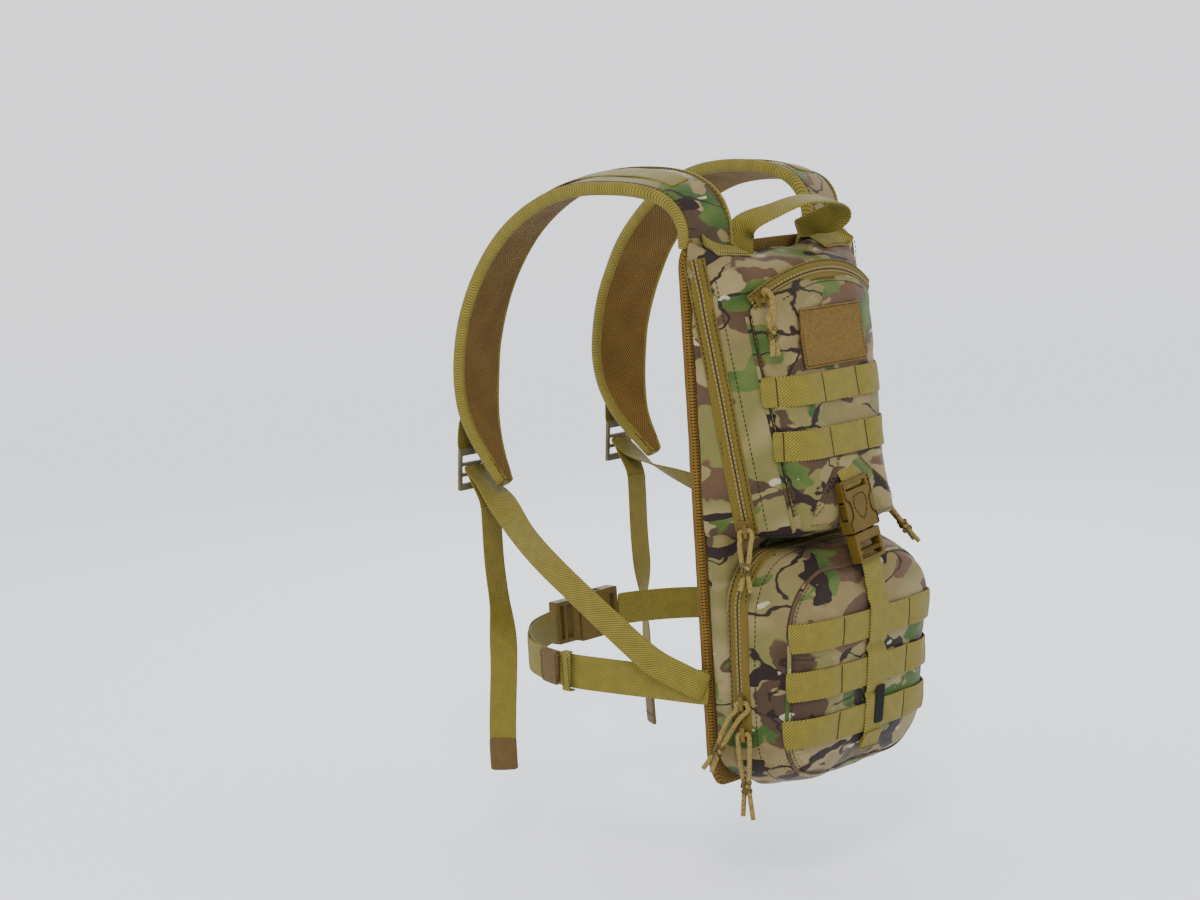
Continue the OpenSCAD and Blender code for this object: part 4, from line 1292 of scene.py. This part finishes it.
for side, name in SIDES:
    path, widths, ups = strap_base(side)
    root = (side * 0.077, -0.008, 0.236)
    bridge = ("root", name + "_strap", root, (root[0], root[1] + 0.030, root[2] + 0.012))
    body = name + "_strap"
    rings, wv = strap_rings(path, widths, ups, pad_profile)
    verts, faces = crumple(*loft(rings), lambda p, n: 0.7 * fractal(p, 26, 4.0))
    pad = make("strap_%s_cloth" % name, verts, faces, CAMO_C, "camo_fabric", None, ("strap_pad_" + name,),
               levels=1)
    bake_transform(pad)
    rings, wv = strap_rings(path, widths, ups, lining_profile)
    lining = make("strap_%s_mesh" % name, *loft(rings), MESH, "spacer_mesh", None, ("strap_lining_" + name,),
                  levels=1, wv=wv)
    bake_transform(lining)
    for edge, word in ((-1, "inner"), (1, "outer")):
        rings, wv = strap_rings(path, widths, ups, binding_profile(edge))
        ob = make("strap_%s_binding_%s" % (name, word), *loft(rings), WEB, "webbing", None, levels=1, wv=wv)
        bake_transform(ob)
    lines = []
    fr = frames(path, ups)
    for edge in (-1, 1):
        for inset in (5.2, 7.4):
            pts = []
            for p, (s, u), w in zip(path, fr, widths):
                q = (w - inset) / w
                lift = 4.9 - 3.0 * abs(q) ** 5 + 1.5 * (1 - q * q)
                pts.append(p + s * edge * (w - inset) + u * (max(lift, 5.2 if inset < 6 else lift) + 0.15))
            lines.append((pts, ups))
    stitches("strap_%s_stitch" % name, lines, None, blend=bridge)
    for k, (first, last) in enumerate(((20, 47), (75, 80), (83, 88))):
        lifts = [6.6 + (1.0 if k else 0.0) * math.sin(math.pi * i / 4) for i in range(last - first)]
        web = [p + u * lift for p, u, lift in zip(path[first:last], ups[first:last], lifts)]
        ribbon("strap_%s_web_%d" % (name, k + 1), web, ups[first:last], ROW / 2, 1.6, WEB, body,
               nodes=("strap_webbing_" + name,) if k == 0 else ())

    # Lock loop, adjuster, and the hanging end
    loop = curve([V(side * x, y, z) for x, y, z in ((96, 261, 98), (96, 263.5, 91), (97, 266, 83),
                                                    (98, 267.5, 72), (98, 268, 64), (98, 266, 60))], 3)
    ribbon("lock_loop_%s_web" % name, loop, [V(0, 1, 0)] * len(loop), ROW / 2, 1.6, WEB, body,
           nodes=("lock_loop_" + name,))
    route = [(-109.5, -9, -127.5), (-115, -5, -125), (-121, 8, -118), (-131, 30, -105), (-143, 55, -80),
             (-148, 92, -51), (-145, 135, -24),
             (-132, 170, -8), (-116, 203, 8), (-104, 228, 20), (-99, 246, 31), (-98, 259, 41),
             (-98, 263, 45)]
    turn = [(-1, -0.3, 0), (-1, -0.3, 0), (-1, -0.3, 0), (-1, -0.3, 0), (-1, -0.2, 0), (-1, 0, 0.1),
            (-1, 0.2, 0.3), (-0.8, 0.4, 0.5), (-0.6, 0.3, 0.8),
            (-0.3, 0, 1), (0, -0.3, 1), (0, -0.4, 1), (0, -0.4, 1)]
    adj_path = curve([V(-side * x, y, z) for x, y, z in route], 4)
    adj_ups = curve([V(-side * x, y, z) for x, y, z in turn], 4)
    seam = (side * 0.109, -0.009, -0.128)
    ribbon("adjuster_%s_web" % name, adj_path, adj_ups, ROW / 2, 1.5, WEB, body, nodes=("adjuster_" + name,),
           ripple=0.5, seed=2.0 + side,
           blend=("root", body, seam, (seam[0] + side * 0.006, seam[1] + 0.022, seam[2])))
    back_path = curve([V(side * 98, y, z) for y, z in ((263, 47), (259.5, 41.5), (255, 33), (249, 23),
                                                       (245.2, 15), (244.4, 8))], 3)
    ribbon("adjuster_%s_return" % name, back_path, [V(0, 1, 0.01)] * len(back_path), ROW / 2 - 0.2, 1.5, WEB,
           body)
    hang, hang_ups = [], []
    for i in range(25):
        z = 12 - 244 * i / 24
        twist = math.radians(58) * smooth((-70 - z) / 70) * -side
        hang.append(V(side * (98 + 3 * smooth(-z / 160) * math.sin(z / 50)),
                      244 + 2.5 * smooth(-z / 80) * math.cos(z / 34), z))
        hang_ups.append(V(math.sin(twist), math.cos(twist), 0.01))
    ribbon("tail_%s_web" % name, hang, hang_ups, ROW / 2, 1.5, WEB, name + "_tail", nodes=("tail_" + name,))
    tip = hang[-4:]
    ribbon("tail_%s_tip" % name, tip, hang_ups[-4:], ROW / 2 + 0.4, 3.4, WEB_TAN, name + "_tail")
    tack = [(h + u * 1.9, s) for h, u, (s, _) in zip(hang, hang_ups, frames(hang, hang_ups))]
    rows = [([tack[i][0] - tack[i][1] * 11, tack[i][0] + tack[i][1] * 11], [hang_ups[i]] * 2)
            for i in (-4, -2)]
    stitches("tail_%s_stitch" % name, rows, name + "_tail", pitch=2.2, length=1.8)

# ---------------------------------------------------------------- waist belt
BELT_W = 30.0
WC, WA, WB = 120.0, 145.0, 112.0
BELT_ROOT = V(-109, -9, -128)


def waist(a, out=0.0):
    a = math.radians(a)
    y = WC - (WB + out) * math.cos(a)
    return V(-(WA + out) * math.sin(a), y, -128 + 0.085 * (y + 9))


def waist_out(a):
    a = math.radians(a)
    return V(-WB * math.sin(a), -WA * math.cos(a), 0).normalized()


for side, name in SIDES:
    lead = [BELT_ROOT + V(1, -1, 0)] + [BELT_ROOT.lerp(waist(76.5), t) for t in (0.12, 0.35, 0.7)]
    path = lead + [waist(76.5 + 86.5 * i / 24) for i in range(25)]
    ups = [waist_out(76.5)] * 4 + [waist_out(76.5 + 86.5 * i / 24) for i in range(25)]
    path = [to_side(side, p) for p in path]
    ups = [to_side(side, u) for u in ups]
    seam = (side * 0.109, -0.009, -0.128)
    ribbon("belt_%s_web" % name, path, ups, BELT_W / 2, 1.6, WEB, None, nodes=("belt_" + name,), ripple=0.6,
           blend=("root", "belt", seam, (seam[0] + side * 0.004, seam[1] + 0.024, seam[2])))
doubled = [waist(84 + 79 * i / 20, 2.3 + 0.8 * math.sin(i * 0.9) * (i > 3)) for i in range(21)]
ribbon("belt_double_web", doubled[3:], [waist_out(84 + 79 * i / 20) for i in range(3, 21)], BELT_W / 2 - 0.3,
       1.6, WEB, "belt")
TIP_AT = (92, 95, 98, 101, 104)
KEEPER_AT = (84.5, 86, 87.5, 89)
ribbon("belt_double_tip", [waist(a, 3.0) for a in TIP_AT], [waist_out(a) for a in TIP_AT], BELT_W / 2 + 0.3,
       3.2,
       WEB_TAN, "belt")
ribbon("belt_keeper_web", [waist(a, 5.2) for a in KEEPER_AT], [waist_out(a) for a in KEEPER_AT],
       BELT_W / 2 + 2.2, 1.6, WEB, "belt", nodes=("belt_keeper",), step=1.5)
for word, z in (("upper", 1), ("lower", -1)):
    pts = [waist(a, 2.2) + V(0, 0, z * (BELT_W / 2 + 1.4)) for a in KEEPER_AT]
    ribbon("belt_keeper_%s" % word, pts, [V(0, 0, z)] * 4, 3.6, 1.5, WEB, "belt", step=1.5)
reach = V(0, 0, 13)
lines = []
for a, lift in ((85.3, 6.3), (88.3, 6.3), (93.0, 5.0), (103.0, 5.0)):
    lines.append(([waist(a, lift) - reach, waist(a, lift) + reach], [waist_out(a)] * 2))
stitches("belt_stitch", lines, "belt", pitch=2.2, length=1.8)

# ---------------------------------------------------------------- zip pulls
CORD_D = 4.2


def tube(name, path, radius, material, slot, sides=10):
    rings = []
    closed = (path[0] - path[-1]).length < 1e-4
    pts = path[:-1] if closed else path
    n = len(pts)
    ref = V(0.3, 0.5, 0.8)
    for i, p in enumerate(pts):
        after = pts[(i + 1) % n] if closed else pts[min(i + 1, n - 1)]
        before = pts[i - 1] if closed or i else pts[0]
        t = (after - before).normalized()
        a = t.cross(ref).normalized()
        b = t.cross(a)
        ref = a.cross(t) * -1
        turns = [2 * math.pi * k / sides for k in range(sides)]
        rings.append([p + (a * math.cos(w) + b * math.sin(w)) * radius for w in turns])
    if closed:
        rings.append(rings[0])
    verts, faces = loft(rings, caps=not closed)
    return make(name, verts, faces, material, slot, None)


def knot_at(name, centre, axis, body):
    z = axis.normalized()
    x = z.orthogonal().normalized()
    y = z.cross(x)
    pts = []
    for i in range(49):
        t = 2 * math.pi * i / 48
        r = 2.5 + 1.1 * math.cos(3 * t)
        pts.append(centre + x * r * math.cos(2 * t) * 1.3 + y * 2.7 * math.sin(3 * t)
                   + z * r * math.sin(2 * t) * 1.7)
    pts[-1] = pts[0]
    ob = tube(name, pts, 2.2, CORD, "paracord")
    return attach(ob, body)


def leg(name, points, body, nodes=()):
    path = curve(points, 6)
    data = bpy.data.curves.new(name, "CURVE")
    data.dimensions = "3D"
    data.bevel_depth = CORD_D / 2 * MM
    data.bevel_resolution = 3
    data.use_fill_caps = True
    spline = data.splines.new("POLY")
    spline.points.add(len(path) - 1)
    for q, p in zip(spline.points, path):
        q.co = (p.x * MM, p.y * MM, p.z * MM, 1)
    data.materials.append(CORD)
    ob = bpy.data.objects.new(name, data)
    bpy.context.scene.collection.objects.link(ob)
    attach(ob, body)
    if nodes:
        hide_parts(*nodes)
    return ob


def pull(name, node, o, a, d, k, e, body):
    h = d - a * a.dot(d)
    knot = knot_at(name + "_knot", o + d * k, d, body)
    for s, word in ((-1, "a"), (1, "b")):
        curl = a * s
        pts = [o, o + curl * 3.4 - h * 0.2, o + curl * 4.9 + h * 2.5, o + curl * 5.0 + h * 6.5,
               o + curl * 4.6 + d * (k * 0.35),
               o + curl * 3.0 + d * (k * 0.75), o + curl * 1.6 + d * k, o + curl * 2.6 + d * (k + 9),
               o + curl * 4.4 + d * (e - (0 if s > 0 else 3))]
        leg("%s_%s" % (name, word), pts, body, (node,) if s < 0 else ())


zip_dir = V(8 - 39, 232 + 4, 0).normalized()
across = SIDE_FWD * zip_dir.y - V(0, 0, 1) * zip_dir.x
su = 39 + 8 / 236 * (8 - 39)
bridge_l = V(-BACK_W, -10, 4) + SIDE_FWD * su + SIDE_OUT * 8.2
pull("pull_left", "side_pull_left", bridge_l, across, (DOWN + SIDE_OUT * 0.4).normalized(), 33, 52,
     "side_pull_left")
lean = (DOWN + SIDE_OUT * 0.75).normalized()
pull("pull_right", "side_pull_right", to_side(1, bridge_l), to_side(1, across), to_side(1, lean), 33, 52,
     "side_pull_right")
PT = math.atan2(17, 50)
POUCH_FWD = V(math.sin(PT), -math.cos(PT), 0)
POUCH_OUT = V(-math.cos(PT), -math.sin(PT), 0)


def pouch_bridge(z):
    return V(-105, -30, z) + POUCH_FWD * (12.5 / math.cos(PT)) + POUCH_OUT * 9.6


pull("pull_pouch_upper", "pouch_pull_upper", pouch_bridge(-137), POUCH_FWD, V(-0.2, 0.55, -1).normalized(),
     46, 68, "pouch_pull_upper")
pull("pull_pouch_lower", "pouch_pull_lower", pouch_bridge(-163), POUCH_FWD, DOWN, 44, 72, "pouch_pull_lower")

o = arch_point(-31) + arch_out(-31) * 7.0
f, d, x = arch_out(-31), V(0, -0.132, -1).normalized(), V(1, 0, 0)
r = (arch_radial(-31) - f * arch_radial(-31).dot(f)).normalized()
knot = knot_at("pull_pocket_knot", o + d * 30, d, "pocket_pull")
leg("pull_pocket_a", [o, o + r * 4.6, o + r * 6.8 + f * 2.8, o + r * 4.6 + f * 6.4, o - r + f * 6.6,
                      o + d * 14 + f * 3.6 + x * 1.5,
                      o + d * 28 + x * 1.3, o + d * 38 + x * 2, o + d * 48 + x * 3.5], "pocket_pull",
    ("pocket_pull",))
leg("pull_pocket_b", [o, o - r * 4.8 + f * 0.6, o - r * 8 + f * 2.4, o + d * 16 + f * 1.4 - x * 1.8,
                      o + d * 28 - x * 1.3,
                      o + d * 38 - x * 2, o + d * 48 - x * 4], "pocket_pull")

buckle_details("front_buckle", at_buckle, 1.0, "root", "front_prong_left", "front_prong_right")
waist_turn = Matrix.Rotation(math.radians(180), 3, "X") @ Matrix.Rotation(math.radians(90), 3, "Y")


def at_waist_buckle(x, y, z):
    return V(0, 232, -107) + waist_turn @ V(x, y, z)


buckle_details("belt_buckle", at_waist_buckle, 1.15, "belt", "belt_prong_left", "belt_prong_right")

# ---------------------------------------------------------------- moulded and cast parts
# They keep their CAD shape, with softened edges
HARD = (
    (SLIDER, 0.7, ("side_slider_left", "side_slider_right", "pocket_slider", "pouch_slider_upper",
                   "pouch_slider_lower")),
    (BUCKLE, 1.1, ("front_buckle_female", "belt_buckle_female")),
    (BUCKLE, 0.9, ("front_buckle_male", "belt_buckle_male")),
    (BUCKLE, 0.8, ("front_prong_left", "front_prong_right", "belt_prong_left", "belt_prong_right")),
    (LOCK, 0.8, ("ladder_lock_left", "ladder_lock_right")),
    (LINING, 0.4, ("bladder_sleeve",)),
)
for node, material, width in [(node, material, width) for material, width, nodes in HARD for node in nodes]:
    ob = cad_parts[node]
    ob.data.materials.clear()
    ob.data.materials.append(material)
    weld = ob.modifiers.new("weld", "WELD")
    weld.merge_threshold = 1e-6
    bevel = ob.modifiers.new("bevel", "BEVEL")
    bevel.width = width * MM
    bevel.segments = 3
    bevel.limit_method = "ANGLE"
    bevel.angle_limit = math.radians(35)
    bevel.harden_normals = True

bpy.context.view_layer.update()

floor_mesh = bpy.data.meshes.new("floor")
floor_mesh.from_pydata([(-30, -30, -0.32), (30, -30, -0.32), (30, 30, -0.32), (-30, 30, -0.32)], [],
                       [(0, 1, 2, 3)])
floor = bpy.data.objects.new("floor", floor_mesh)
bpy.context.scene.collection.objects.link(floor)
g = Graph("pale_floor")
floor_material = g.finish(rgb(244, 246, 250, 1.0), 0.9)
# The floor fades into the world far from the pack
away = g.add("ShaderNodeVectorMath", {"operation": "LENGTH"}, i0=g.object()).outputs["Value"]
clear = g.add("ShaderNodeBsdfTransparent").outputs[0]
edge = g.add("ShaderNodeMixShader", i0=g.ramp(away, 1.5, 9.0), i1=g.shader.outputs[0], i2=clear).outputs[0]
g.tree.links.new(edge, g.tree.nodes["Material Output"].inputs["Surface"])
floor_mesh.materials.append(floor_material)
world = bpy.data.worlds.new("studio")
world.use_nodes = True
world.node_tree.nodes["Background"].inputs[0].default_value = rgb(233, 235, 240, 1.0)
world.node_tree.nodes["Background"].inputs[1].default_value = 1.75
bpy.context.scene.world = world
